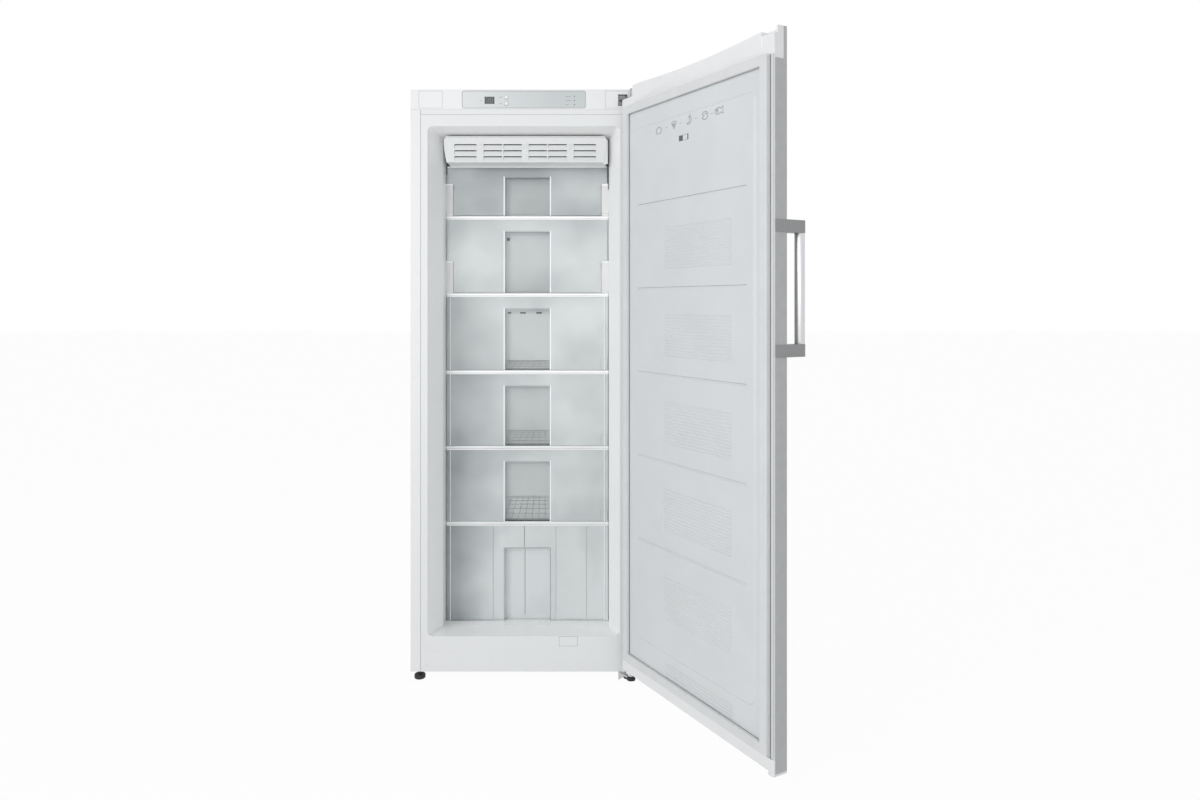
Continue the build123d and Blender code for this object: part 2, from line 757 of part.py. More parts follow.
flap_lintels = (grip_lintel, housing_lintel)
for name, level, top, lintel in zip(("lower_flap", "upper_flap"), flap_levels, flap_tops, flap_lintels):
    pivot_z = level + pivot_above_shelf
    flap_low = level + trim_above + 1.2
    wide_half = cavity_half - flap_side_play
    narrow_half = bracket_inner - flap_play
    with BuildPart() as flap:
        block((-wide_half, wide_half), (trim_front, front_back), (pivot_z + flap_shoulder, top))
        block((-narrow_half, narrow_half), (trim_front, front_back), (flap_low, top))
        grip_pocket(flap_low, top + front_gap - lintel, panel_wall)
        for x in both(narrow_half - 5, narrow_half):
            block(x, (trim_front, pivot_y), (pivot_z - 7, pivot_z + 7))
            middle = (x[0] + x[1]) / 2
            rod((middle, pivot_y, pivot_z), 7, x[1] - x[0], "X")
        for side in (-1, 1):
            pin_inner = narrow_half - 2.5
            pin_outer = bracket_inner + 10
            pin_middle = (side * (pin_inner + pin_outer) / 2, pivot_y, pivot_z)
            rod(pin_middle, pivot_radius, pin_outer - pin_inner, "X")
    keep(name, flap.part)

# ================================================================ drawers
drawer_names = ("bottom", "lower", "middle", "upper")
drawer_floors = [cavity_floor] + shelf_levels[:3]
drawer_backs = [step_back - 6.0] + [shelf_back - 4.0] * 3

for n, name in enumerate(drawer_names):
    floor = drawer_floors[n]
    back = drawer_backs[n]
    ceiling = shelf_levels[n] - glass - trim_below
    front_low = floor + (trim_above if n else 0) + slide_gap
    front_high = ceiling - front_gap
    grip_low = front_low
    grip_high = ceiling - (grip_lintel if n else bottom_lintel)
    with BuildPart() as front:
        block((-front_half, front_half), (trim_front, front_back), (front_low, front_high))
        grip_pocket(grip_low, grip_high, basket_wall)
        for x in both(front_half - 1, cavity_half - wing_play):
            block(x, (front_back - wing_wall, front_back), (front_low, front_high))
        if n:
            for x in both(front_half - 1, front_half + ear_width):
                block(x, (trim_front, front_back), (front_low, front_low + ear_height))
    keep(f"{name}_drawer_front", front.part)

    wall_top = min(floor + basket_height, ceiling - ledge_height - front_gap)
    if n == 0:
        wall_top = ceiling - ledge_height - front_gap
    with BuildPart() as basket:
        block((-front_half, front_half), (front_back, back), (front_low, wall_top))
        block(
            (-front_half + basket_wall, front_half - basket_wall),
            (front_back, back - basket_wall),
            (front_low + basket_wall, wall_top),
            Mode.SUBTRACT,
        )
        notch_half = grip_width / 2 + panel_wall
        notch_back = front_back + grip_depth + basket_wall
        block((-notch_half, notch_half), (front_back, notch_back), (front_low, wall_top), Mode.SUBTRACT)
        slots_front = notch_back + 12
        row_pitch = (back - 14 - slots_front) / slot_rows
        column_pitch = (2 * front_half - 24) / slot_columns
        for row in range(slot_rows if n else 0):
            for column in range(slot_columns):
                x = -front_half + 12 + (column + 0.5) * column_pitch
                y = slots_front + (row + 0.5) * row_pitch
                block(
                    (x - slot_length / 2, x + slot_length / 2),
                    (y - slot_width / 2, y + slot_width / 2),
                    (front_low, front_low + basket_wall),
                    Mode.SUBTRACT,
                )
    keep(f"{name}_drawer_basket", basket.part)

# ================================================================ machinery
with BuildPart() as compressor:
    plate_z = (compressor_foot, compressor_foot + compressor_plate)
    plate_x = (compressor_x - mount_x - 18, compressor_x + mount_x + 18)
    block(plate_x, (compressor_y - mount_y - 18, compressor_y + mount_y + 18), plate_z)
    shell_middle = (compressor_x, compressor_y, plate_z[1] + compressor_height / 2)
    rod(shell_middle, compressor_radius, compressor_height)
    shell_rims = compressor.edges().filter_by(GeomType.CIRCLE).sort_by(Axis.Z)[-1]
    fillet(shell_rims, compressor_radius * 0.45)
    rod((compressor_x, compressor_y, plate_z[1] + compressor_height * 0.55), compressor_radius + 3, 6)
    for turn in (215, 235):
        pipe_x = compressor_x + (compressor_radius + 2) * cos(radians(turn))
        pipe_y = compressor_y - (compressor_radius + 2) * sin(radians(turn))
        rod((pipe_x, pipe_y, plate_z[1] + compressor_height * 0.62), tube_radius, 60)
keep("compressor", compressor.part)

with BuildPart() as compressor_grommets:
    for side in (-1, 1):
        for face in (-1, 1):
            grommet_x = compressor_x + side * mount_x
            place = (grommet_x, compressor_y + face * mount_y, tray_top + grommet_height / 2)
            rod(place, grommet_radius, grommet_height)
            rod(place, screw_radius + 2, grommet_height, mode=Mode.SUBTRACT)
keep("compressor_grommets", compressor_grommets.part)

with BuildPart() as relay_cover:
    relay_front = compressor_y - 24
    relay_x = (compressor_x - compressor_radius - relay_width, compressor_x)
    block(relay_x, (relay_front, relay_front + 48), (plate_z[1] + 20, plate_z[1] + 88))
    relay_edges = relay_cover.edges().filter_by(Axis.Z).group_by(Axis.X)[0]
    fillet(relay_edges, 6)
    rod(shell_middle, compressor_radius + running_fit, compressor_height, mode=Mode.SUBTRACT)
keep("relay_cover", relay_cover.part)

with BuildPart() as drip_pan:
    pan_x = (compressor_x - pan_width / 2, compressor_x + pan_width / 2)
    pan_y = (compressor_y - pan_length / 2, compressor_y + pan_length / 2)
    block(pan_x, pan_y, (compressor_top, compressor_top + pan_height))
    pan_edges = drip_pan.edges().filter_by(Axis.Z)
    fillet(pan_edges, 12)
    pan_rim = drip_pan.faces().sort_by(Axis.Z)[-1]
    offset(amount=-pan_wall, openings=pan_rim)
keep("drip_pan", drip_pan.part)

with BuildPart() as condenser_tube:
    corners = []
    for n in range(condenser_passes):
        z = condenser_low + n * condenser_pitch
        ends = (-condenser_half, condenser_half) if n % 2 == 0 else (condenser_half, -condenser_half)
        corners.extend([(ends[0], condenser_y, z), (ends[1], condenser_y, z)])
    with BuildLine() as condenser_route:
        FilletPolyline(*corners, radius=condenser_pitch / 2 - 0.01)
    with BuildSketch(Plane(origin=corners[0], z_dir=(1, 0, 0))):
        Circle(condenser_tube_radius)
    sweep()
keep("condenser_tube", condenser_tube.part)

with BuildPart() as condenser_wires:
    wire_y = condenser_y + condenser_tube_radius + wire_radius + wire_gap
    wire_low = condenser_low - wire_over
    wire_high = condenser_low + (condenser_passes - 1) * condenser_pitch + wire_over
    for n in range(wire_count):
        x = (n - (wire_count - 1) / 2) * wire_pitch
        rod((x, wire_y, (wire_low + wire_high) / 2), wire_radius, wire_high - wire_low)
keep("condenser_wires", condenser_wires.part)

with BuildPart() as cord_gland:
    gland_level = bay_top - base_sheet - gland_radius - 4
    gland_middle = (gland_x, cabinet_depth - sheet - gland_length / 2, gland_level)
    rod(gland_middle, gland_radius, gland_length, "Y")
    ceiling_z = (gland_middle[2], bay_top - base_sheet)
    gland_y = (gland_middle[1] - gland_length / 2, gland_middle[1] + gland_length / 2)
    block((gland_x - gland_radius, gland_x + gland_radius), gland_y, ceiling_z)
    rod(gland_middle, gland_bore, 2 * gland_length, "Y", Mode.SUBTRACT)
keep("cord_gland", cord_gland.part)

# ================================================================ feet and rollers
for name, side in (("left_foot", -1), ("right_foot", 1)):
    with BuildPart() as foot:
        rod((side * foot_x, foot_back, foot_disc / 2), foot_radius, foot_disc)
        disc_rims = foot.edges().filter_by(GeomType.CIRCLE)
        chamfer(disc_rims, 1.5)
        for n in range(12):
            place = (
                side * foot_x + foot_radius * cos(radians(30 * n)),
                foot_back + foot_radius * sin(radians(30 * n)),
                foot_disc / 2,
            )
            rod(place, 1.6, foot_disc, mode=Mode.SUBTRACT)
        stem_low = foot_disc / 2
        stem_middle = (side * foot_x, foot_back, (stem_low + foot_stem_top - 2) / 2)
        rod(stem_middle, foot_stem_radius, foot_stem_top - 2 - stem_low)
    keep(name, foot.part)

for name, side in (("left_roller", -1), ("right_roller", 1)):
    with BuildPart() as roller:
        rod((side * roller_x, roller_y, roller_radius), roller_radius, roller_width, "X")
        roller_rims = roller.edges().filter_by(GeomType.CIRCLE)
        chamfer(roller_rims, 1)
        rod((side * roller_x, roller_y, roller_radius), axle_radius + running_fit, 30, "X", Mode.SUBTRACT)
    keep(name, roller.part)

with BuildPart() as roller_axles:
    axle_length = roller_width + 2 * (roller_side_gap + ear_steel) + 3
    for side in (-1, 1):
        rod((side * roller_x, roller_y, roller_radius), axle_radius, axle_length, "X")
keep("roller_axles", roller_axles.part)

# ================================================================ hinges
arm_top = arm_bottom + bracket_steel
with BuildPart() as top_hinge_bracket:
    arm_root_x = (hinge_slot_inner + hinge_slot_outer) / 2 - 5
    with BuildSketch(Plane.XY.offset(arm_bottom)):
        with BuildLine():
            start = Vector(hinge_x, -hinge_forward)
            root = Vector(arm_root_x, 2)
            along = (root - start).normalized()
            across = Vector(-along.Y, along.X) * hinge_arm_half
            Polyline(
                start + across,
                root + across,
                (arm_root_x - 6, arm_back),
                (arm_root_x + 12, arm_back),
                root - across,
                start - across,
                close=True,
            )
        make_face()
        with Locations((hinge_x, -hinge_forward)):
            Circle(hinge_arm_half)
    extrude(amount=bracket_steel)
    pin_middle = (hinge_x, -hinge_forward, arm_bottom - pin_drop / 2 + bracket_steel / 2)
    rod(pin_middle, hinge_pin_radius, pin_drop + bracket_steel)
    block(
        (arm_root_x - 6, arm_root_x + 12),
        (fascia_wall, arm_back),
        (arm_bottom - 16, arm_top + 12),
    )
keep("top_hinge_bracket", top_hinge_bracket.part)

lower_top = foot_height
lower_bottom = foot_height - lower_bracket_steel
with BuildPart() as bottom_hinge_bracket:
    left_edge = hinge_x - 32
    block((left_edge, hinge_x + 12), (2, 74), (lower_bottom, lower_top))
    with BuildSketch(Plane.XY.offset(lower_bottom)):
        with BuildLine():
            Polyline(
                (left_edge, 2),
                (left_edge, -4),
                (hinge_x - 8, -hinge_forward - 5),
                (hinge_x + 8, -hinge_forward - 5),
                (hinge_x + 12, 2),
                close=True,
            )
        make_face()
        with Locations((hinge_x, -hinge_forward)):
            Circle(hinge_pin_radius + 4)
    extrude(amount=lower_bracket_steel)
    with BuildSketch(Plane.XZ):
        Polygon(
            (left_edge, lower_bottom),
            (left_edge, 1.5),
            (left_edge + 6, 4),
            (left_edge + 24, lower_bottom),
            align=None,
        )
    extrude(amount=2)
    rod((foot_x, foot_back, foot_height), foot_stem_radius + 3, 30, mode=Mode.SUBTRACT)
    for hole in bracket_holes:
        rod(hole, screw_radius, 20, mode=Mode.SUBTRACT)
    pin_top = foot_height + pin_rise
    rod((hinge_x, -hinge_forward, (lower_bottom + pin_top) / 2), hinge_pin_radius, pin_top - lower_bottom)
keep("bottom_hinge_bracket", bottom_hinge_bracket.part)

for hole in bracket_holes:
    with BuildPart() as tray_hole_tool:
        rod(hole, screw_radius, 20)
    pieces["base_tray"] = pieces["base_tray"] - tray_hole_tool.part

with BuildPart() as screws:
    for n in (-1, 0, 1):
        x = n * screw_spacing
        head_back = cover_front + 1.2
        rod((x, head_back - 1, screw_level), screw_head_radius, 2, "Y")
        rod((x, head_back + 6, screw_level), screw_radius, 12, "Y")
        slot_z = (screw_level - 0.6, screw_level + 0.6)
        block((x - 3, x + 3), (head_back - 2, head_back - 1.2), slot_z, Mode.SUBTRACT)
    for hole in bracket_holes:
        rod((hole[0], hole[1], lower_bottom - 1.25), screw_head_radius + 1, 2.5)
        rod((hole[0], hole[1], lower_bottom + 6), screw_radius, 12)
keep("screws", screws.part)

# ================================================================ door, drawn closed
with BuildPart() as door_skin:
    round_front(door_half, (door_front, edge_line), (skin_bottom, door_top), door_corner)
    inside_y = (door_front + sheet, edge_line - sheet)
    inside_corner = door_corner - sheet
    round_front(skin_inner, inside_y, (skin_bottom, door_top), inside_corner, Mode.SUBTRACT)
    window = (-door_half + return_flange, door_half - return_flange)
    block(window, (edge_line - sheet, edge_line), (skin_bottom, door_top), Mode.SUBTRACT)
    skirt_y = (door_front + cap_skirt_back, edge_line)
    skirt_low = cap_joint_top - cap_skirt
    for x in both(skin_inner, door_half):
        block(x, skirt_y, (skirt_low, door_top), Mode.SUBTRACT)
    block((-door_half, door_half), skirt_y, (cap_joint_top, door_top), Mode.SUBTRACT)
keep("door_skin", door_skin.part, on_door=True)


def raised_panel(shrink, drop):
    """The raised field of the door liner as a rounded pad with sloping sides."""
    with BuildPart() as pad:
        width = 2 * (panel_half - shrink)
        height = panel_high - panel_low - 2 * shrink
        with BuildSketch(Plane.XZ.offset(-door_back + drop)):
            with Locations((0, (panel_low + panel_high) / 2)):
                RectangleRounded(width, height, panel_corner)
        with BuildSketch(Plane.XZ.offset(-door_back + drop - panel_raise)):
            with Locations((0, (panel_low + panel_high) / 2)):
                top_width = width - 2 * panel_raise
                top_height = height - 2 * panel_raise
                RectangleRounded(top_width, top_height, panel_corner - panel_raise)
        loft()
    return pad.part


liner_z = (cap_joint_bottom, cap_joint_top)
pad_outside = raised_panel(0, 0)
pad_inside = raised_panel(door_liner_wall, door_liner_wall)

with BuildPart() as door_liner:
    block((-liner_half, liner_half), (edge_line, door_back), liner_z)
    add(pad_outside)
    add(pad_inside, mode=Mode.SUBTRACT)
    for n in range(groove_count):
        low = groove_first + n * groove_pitch - groove_width / 2
        groove_face = (door_back + panel_raise - groove_depth, door_back + panel_raise)
        block((-groove_half, groove_half), groove_face, (low, low + groove_width), Mode.SUBTRACT)
    for x in both(gasket_outer + 1.5, gasket_outer + 1.5 + shadow_groove):
        block(x, (door_back - groove_depth, door_back), liner_z, Mode.SUBTRACT)
keep("door_liner", door_liner.part, on_door=True)

with BuildPart() as bush_tool:
    bush_outer = hinge_pin_radius + running_fit + bush_wall
    top_bush_z = (notch_floor - bush_height, notch_floor)
    bottom_bush_z = (foot_height + bush_lift, foot_height + pin_rise + pin_end)
    for low, high in (top_bush_z, bottom_bush_z):
        rod((hinge_x, -hinge_forward, (low + high) / 2), bush_outer, high - low)
bush_space = bush_tool.part

with BuildPart() as door_insulation:
    round_front(skin_inner, inside_y, liner_z, inside_corner)
    flange_gap = door_half - return_flange
    block((-flange_gap, flange_gap), (edge_line - sheet, edge_line), liner_z)
    add(pad_inside)
keep("door_insulation", door_insulation.part, on_door=True)

with BuildPart() as door_top_cap:
    deck = door_top - cap_deck_drop
    cap_z = (cap_joint_top, door_top)
    strip_back = door_front + sheet + cap_front_strip
    round_front(skin_inner, (door_front + sheet, skirt_y[0]), cap_z, inside_corner)
    block((-door_half, door_half), (skirt_y[0], door_back), cap_z)
    block((-door_half, door_half), (strip_back, door_back), (deck, door_top), Mode.SUBTRACT)
    dip_ends = (door_half - 97.5, cap_end + 9 - door_half)
    with BuildSketch(Plane.XZ.offset(-strip_back)):
        with BuildLine():
            ThreePointArc(
                (dip_ends[0], deck),
                ((dip_ends[0] + dip_ends[1]) / 2, deck - cap_dip),
                (dip_ends[1], deck),
            )
            Line((dip_ends[1], deck), (dip_ends[1], door_top))
            Line((dip_ends[1], door_top), (dip_ends[0], door_top))
            Line((dip_ends[0], door_top), (dip_ends[0], deck))
        make_face()
    extrude(amount=-door_thickness, mode=Mode.SUBTRACT)
    end_x = (-door_half, cap_end - door_half)
    block(end_x, (strip_back, door_back), (deck - cap_end_drop, door_top), Mode.SUBTRACT)
    post_inner = cap_post_wall - door_half
    post_z = (deck - cap_end_drop, door_top)
    block((-skin_inner, post_inner), (strip_back - 1, skirt_y[0]), post_z)
    block((-door_half, post_inner), (skirt_y[0], door_back - cap_post_reach), post_z)
    for x in both(skin_inner, door_half):
        block(x, skirt_y, (skirt_low, cap_joint_top))
    notch_back = door_front + notch_front_wall
    with BuildSketch(Plane.XY.offset(notch_floor)):
        with Locations((hinge_x, -hinge_forward)):
            Circle(notch_radius)
        with Locations((hinge_x, notch_back - notch_radius)):
            Rectangle(4 * notch_radius, 2 * notch_radius, mode=Mode.SUBTRACT)
        with Locations((door_half - notch_end_wall + 20, door_front)):
            Rectangle(40, 2 * notch_end_depth, mode=Mode.SUBTRACT)
    extrude(amount=door_top - notch_floor, mode=Mode.SUBTRACT)
    add(bush_space, mode=Mode.SUBTRACT)
keep("door_top_cap", door_top_cap.part, on_door=True)

with BuildPart() as door_bottom_cap:
    block((-door_half, door_half), (door_front, door_back), (door_bottom, skin_bottom))
    low_edges = door_bottom_cap.edges().filter_by(Axis.Y).group_by(Axis.Z)[0]
    fillet(low_edges, cap_corner)
    cap_z = (door_bottom, skin_bottom)
    round_front(door_half, (door_front, door_back), cap_z, door_corner, Mode.INTERSECT)
    hollow_x = (bottom_end - door_half, door_half - cap_front_strip)
    block(hollow_x, (door_front + cap_front_strip, door_back), (door_bottom, skin_bottom), Mode.SUBTRACT)
    inner_z = (skin_bottom, cap_joint_bottom)
    round_front(skin_inner, inside_y, inner_z, inside_corner)
    block((-flange_gap, flange_gap), (edge_line - sheet, edge_line), inner_z)
    block((-liner_half, liner_half), (edge_line, door_back), inner_z)
    boss_middle = (hinge_x, -hinge_forward, (door_bottom + skin_bottom) / 2)
    rod(boss_middle, bush_outer + boss_wall, bottom_lip)
    add(bush_space, mode=Mode.SUBTRACT)
keep("door_bottom_cap", door_bottom_cap.part, on_door=True)

with BuildPart() as hinge_bushes:
    add(bush_space)
    bore = hinge_pin_radius + running_fit
    rod((hinge_x, -hinge_forward, cabinet_height / 2), bore, 2 * cabinet_height, mode=Mode.SUBTRACT)
keep("hinge_bushes", hinge_bushes.part, on_door=True)

with BuildPart() as door_gasket:
    seal_y = (door_back, -seal_gap)
    block((-gasket_outer, gasket_outer), seal_y, (gasket_bottom, gasket_top))
    gasket_rims = door_gasket.edges().group_by(Axis.Y)[-1]
    fillet(gasket_rims, 2)
    seal_z = (gasket_bottom + gasket_width, gasket_top - gasket_width)
    block((-gasket_inner, gasket_inner), seal_y, seal_z, Mode.SUBTRACT)
    wide_groove = gasket_inner + gasket_groove
    groove_y = (door_back, door_back + gasket_groove)
    groove_z = (seal_z[0] - gasket_groove, seal_z[1] + gasket_groove)
    block((-wide_groove, wide_groove), groove_y, groove_z, Mode.SUBTRACT)
keep("door_gasket", door_gasket.part, on_door=True)

# ================================================================ handle
bar_x = -door_half - block_proud + block_radius
bar_y = door_front - bar_stand_off
block_levels = [(handle_low, handle_low + block_height), (handle_high - block_height, handle_high)]
bar_z = (block_levels[0][1], block_levels[1][0])
bar_middle = (bar_x, bar_y, (bar_z[0] + bar_z[1]) / 2)
bar_length = bar_z[1] - bar_z[0]

with BuildPart() as handle_blocks:
    for z in block_levels:
        rod((bar_x, bar_y, (z[0] + z[1]) / 2), block_radius, block_height)
        block((bar_x - block_radius, bar_x + block_radius), (bar_y, door_front), z)
        block((bar_x - block_radius, -door_half), (door_front, edge_line), z)
    spigot_span = bar_length + 2 * spigot_length
    rod(bar_middle, spigot_radius + socket_play, spigot_span, mode=Mode.SUBTRACT)
keep("handle_blocks", handle_blocks.part, on_door=True)

with BuildPart() as handle_bar:
    rod(bar_middle, bar_radius, bar_length)
    rod(bar_middle, spigot_radius, spigot_span)
keep("handle_bar", handle_bar.part, on_door=True)

# ================================================================ place and write
boxes = [piece.bounding_box() for piece in pieces.values()]
middle_x = (min(box.min.X for box in boxes) + max(box.max.X for box in boxes)) / 2
middle_y = (min(box.min.Y for box in boxes) + max(box.max.Y for box in boxes)) / 2
for name, piece in pieces.items():
    placed = piece.moved(Location((-middle_x, -middle_y, 0)))
    placed.label = name
    export_step(placed, f"parts/{name}.step")
print(f"{len(pieces)} pieces, origin at X {middle_x:.3f}, Y {middle_y:.3f} of the cabinet's front face")
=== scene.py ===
"""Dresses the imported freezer: materials, fine lines, lamps, floor and camera."""

import bpy
import json
from math import cos, pi, radians, sin
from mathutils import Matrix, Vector


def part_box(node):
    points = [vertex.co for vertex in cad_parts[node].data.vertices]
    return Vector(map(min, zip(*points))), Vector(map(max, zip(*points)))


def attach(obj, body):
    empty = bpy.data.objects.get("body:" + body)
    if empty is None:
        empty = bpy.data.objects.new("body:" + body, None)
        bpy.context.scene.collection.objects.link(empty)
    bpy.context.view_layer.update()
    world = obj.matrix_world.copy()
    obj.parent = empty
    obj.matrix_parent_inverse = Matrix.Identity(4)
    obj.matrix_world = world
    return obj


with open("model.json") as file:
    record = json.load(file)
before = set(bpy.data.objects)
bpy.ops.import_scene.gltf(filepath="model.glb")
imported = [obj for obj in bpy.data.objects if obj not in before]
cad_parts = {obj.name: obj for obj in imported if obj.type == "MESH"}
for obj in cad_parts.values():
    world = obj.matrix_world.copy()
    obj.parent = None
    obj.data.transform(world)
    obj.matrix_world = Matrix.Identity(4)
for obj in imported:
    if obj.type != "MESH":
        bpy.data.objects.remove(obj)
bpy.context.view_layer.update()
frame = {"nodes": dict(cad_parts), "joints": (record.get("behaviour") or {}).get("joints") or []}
nodes = frame["nodes"]
joints = {joint["name"]: joint for joint in frame["joints"]}

# ------------------------------------------------------------------ placing
# Drawings below are in millimetres from the middle of the cabinet's front face at floor
# level, with the door closed. These turn them into the row frame, in metres.
HINGE = Vector(joints["door_hinge"]["pos_m"])
HINGE_X, HINGE_Y = 280.0, -25.2
DOOR_ANGLE = radians(119.6)
ORIGIN = Vector((HINGE.x - HINGE_X / 1000, HINGE.y - HINGE_Y / 1000, 0))
FLANGE_X = 271  # half the width between the shell's front flanges
FLAP_SHELVES = (1014.7, 1227.0)  # levels of the two shelves that carry the flaps
GROOVE_FIRST, GROOVE_PITCH = 399.6, 209.2  # levels of the grooves across the door's liner


def at(x, y, z):
    return ORIGIN + Vector((x, y, z)) / 1000


def on_door(x, y, z):
    flat = Vector((x - HINGE_X, y - HINGE_Y)) / 1000
    turned_x = flat.x * cos(DOOR_ANGLE) - flat.y * sin(DOOR_ANGLE)
    turned_y = flat.x * sin(DOOR_ANGLE) + flat.y * cos(DOOR_ANGLE)
    return Vector((HINGE.x + turned_x, HINGE.y + turned_y, z / 1000))


# ------------------------------------------------------------------ materials
def grey(value):
    """A linear colour from an 8-bit grey, or from three 8-bit channels."""
    channels = value if isinstance(value, tuple) else (value, value, value)
    linear = []
    for c in channels:
        c = c / 255
        linear.append(c / 12.92 if c < 0.04045 else ((c + 0.055) / 1.055) ** 2.4)
    return (*linear, 1)


class Finish:
    """A principled material built up a layer at a time, in the row frame's metres."""

    def __init__(self, name, colour, roughness, metallic=0.0, specular=0.5):
        self.material = bpy.data.materials.new(name)
        self.material.use_nodes = True
        self.tree = self.material.node_tree
        self.shader = self.tree.nodes["Principled BSDF"]
        self.shader.inputs["Base Color"].default_value = grey(colour)
        self.shader.inputs["Roughness"].default_value = roughness
        self.shader.inputs["Metallic"].default_value = metallic
        self.shader.inputs["Specular IOR Level"].default_value = specular
        self.colour = grey(colour)
        self.roughness = roughness
        self.place = self.node("ShaderNodeTexCoord").outputs["Object"]
        self.relief = None

    def node(self, kind, **settings):
        made = self.tree.nodes.new(kind)
        for key, value in settings.items():
            setattr(made, key, value)
        return made

    def link(self, output, socket):
        self.tree.links.new(output, socket)

    def noise(self, scale, detail, stretch=(1, 1, 1)):
        place = self.place
        if stretch != (1, 1, 1):
            mapping = self.node("ShaderNodeMapping")
            mapping.inputs["Scale"].default_value = stretch
            self.link(place, mapping.inputs["Vector"])
            place = mapping.outputs["Vector"]
        texture = self.node("ShaderNodeTexNoise")
        texture.inputs["Scale"].default_value = scale
        texture.inputs["Detail"].default_value = detail
        self.link(place, texture.inputs["Vector"])
        return texture.outputs["Fac"]

    def drift(self, scale, detail, amount, middle=0.5):
        """Noise that wanders about zero."""
        return self.times(self.minus(self.noise(scale, detail), middle), amount)

    def split(self, vector=None):
        """The X, Y and Z of a vector, or else of the place itself."""
        parts = self.node("ShaderNodeSeparateXYZ")
        self.link(self.place if vector is None else vector, parts.inputs["Vector"])
        return parts.outputs

    def map_range(self, value, start, end, low=0, high=1):
        """From low to high while the value goes from start to end."""
        spread = self.node("ShaderNodeMapRange")
        spread.inputs["From Min"].default_value = start
        spread.inputs["From Max"].default_value = end
        spread.inputs["To Min"].default_value = low
        spread.inputs["To Max"].default_value = high
        self.link(value, spread.inputs["Value"])
        return spread.outputs["Result"]

    def colour_by(self, value, first, second, positions=(0, 1)):
        """Base colour from one linear colour to another while the value rises."""
        ramp = self.node("ShaderNodeValToRGB")
        for stop, position, colour in zip(ramp.color_ramp.elements, positions, (first, second)):
            stop.position = position
            stop.color = colour
        self.link(value, ramp.inputs["Fac"])
        self.link(ramp.outputs["Color"], self.shader.inputs["Base Color"])

    def mottle(self, scale, amount, stretch=(1, 1, 1)):
        """Slight unevenness of colour."""
        low = [c * (1 - amount) for c in self.colour[:3]]
        high = [min(1, c * (1 + amount)) for c in self.colour[:3]]
        self.colour_by(self.noise(scale, 3, stretch), (*low, 1), (*high, 1), (0.35, 0.65))
        return self

    def sheen_spread(self, scale, amount, stretch=(1, 1, 1)):
        """Slight unevenness of gloss."""
        low = max(0.02, self.roughness - amount)
        high = min(1, self.roughness + amount)
        gloss = self.map_range(self.noise(scale, 2, stretch), 0, 1, low, high)
        self.link(gloss, self.shader.inputs["Roughness"])
        return self

    def bump(self, height, depth):
        """Relief from a 0 to 1 height, that many metres deep, over any relief before it."""
        made = self.node("ShaderNodeBump")
        made.inputs["Strength"].default_value = 1
        made.inputs["Distance"].default_value = depth
        self.link(height, made.inputs["Height"])
        if self.relief:
            self.link(self.relief.outputs["Normal"], made.inputs["Normal"])
        self.link(made.outputs["Normal"], self.shader.inputs["Normal"])
        self.relief = made
        return self

    def grain(self, scale, depth, stretch=(1, 1, 1)):
        return self.bump(self.noise(scale, 2, stretch), depth)

    def math(self, operation, first, second=None):
        made = self.node("ShaderNodeMath", operation=operation)
        for socket, value in zip(made.inputs, (first, second)):
            if value is None:
                continue
            if isinstance(value, (int, float)):
                socket.default_value = value
            else:
                self.link(value, socket)
        return made.outputs[0]

    def plus(self, first, second):
        return self.math("ADD", first, second)

    def minus(self, first, second):
        return self.math("SUBTRACT", first, second)

    def times(self, first, second):
        return self.math("MULTIPLY", first, second)

    def below(self, first, second):
        return self.math("LESS_THAN", first, second)

    def apart(self, first, second):
        """How far two values are from each other."""
        return self.math("ABSOLUTE", self.minus(first, second))

    def glancing(self):
        """0 where a face is seen face on, 1 where it is seen edge on."""
        weight = self.node("ShaderNodeLayerWeight")
        weight.inputs["Blend"].default_value = 0.35
        return weight.outputs["Facing"]

    def see_through(self, face_on, edge_on):
        """More see-through face on than at a glancing angle."""
        alpha = self.map_range(self.glancing(), 0, 1, face_on, edge_on)
        self.link(alpha, self.shader.inputs["Alpha"])
        return self


def moulded(name, colour, roughness, relief=0.00002):
    made = Finish(name, colour, roughness)
    return made.mottle(9, 0.015).sheen_spread(30, 0.05).grain(1500, relief)


white_enamel = Finish("white_enamel", (240, 241, 242), 0.28)
white_enamel.mottle(3, 0.008).sheen_spread(6, 0.03)
silver_enamel = Finish("silver_enamel", (180, 181, 182), 0.38, metallic=0.35)
silver_enamel.mottle(60, 0.03).sheen_spread(200, 0.05).grain(2500, 0.00001)
galvanised = Finish("galvanised", (178, 180, 182), 0.45, metallic=0.8)
galvanised.mottle(35, 0.12).sheen_spread(45, 0.12).grain(300, 0.00004)
hinge_steel = Finish("hinge_steel", (190, 191, 192), 0.35, metallic=0.85)
hinge_steel.mottle(80, 0.06).sheen_spread(90, 0.1).grain(900, 0.00002)
hinge_dark = Finish("hinge_dark", (126, 129, 130), 0.4, metallic=0.85)
hinge_dark.mottle(80, 0.08).sheen_spread(90, 0.1).grain(900, 0.00002)


def liner_finish():
    """The cabinet's liner: painted lighter in the hollow, against the shade that falls there, and a
    little darker on its flange beside the mouth.
    """
    made = Finish("white_liner", (246, 247, 247), 0.3).sheen_spread(30, 0.05).grain(1500, 0.00002)
    # from the flange's darker colour to painted light a few millimetres into the hollow, with
    # random drift
    inwards = made.map_range(made.split()["Y"], ORIGIN.y + 0.0005, ORIGIN.y + 0.004)
    shade = made.plus(inwards, made.drift(9, 3, 0.15))
    made.colour_by(shade, grey((236, 238, 239)), grey((252, 253, 253)))
    return made


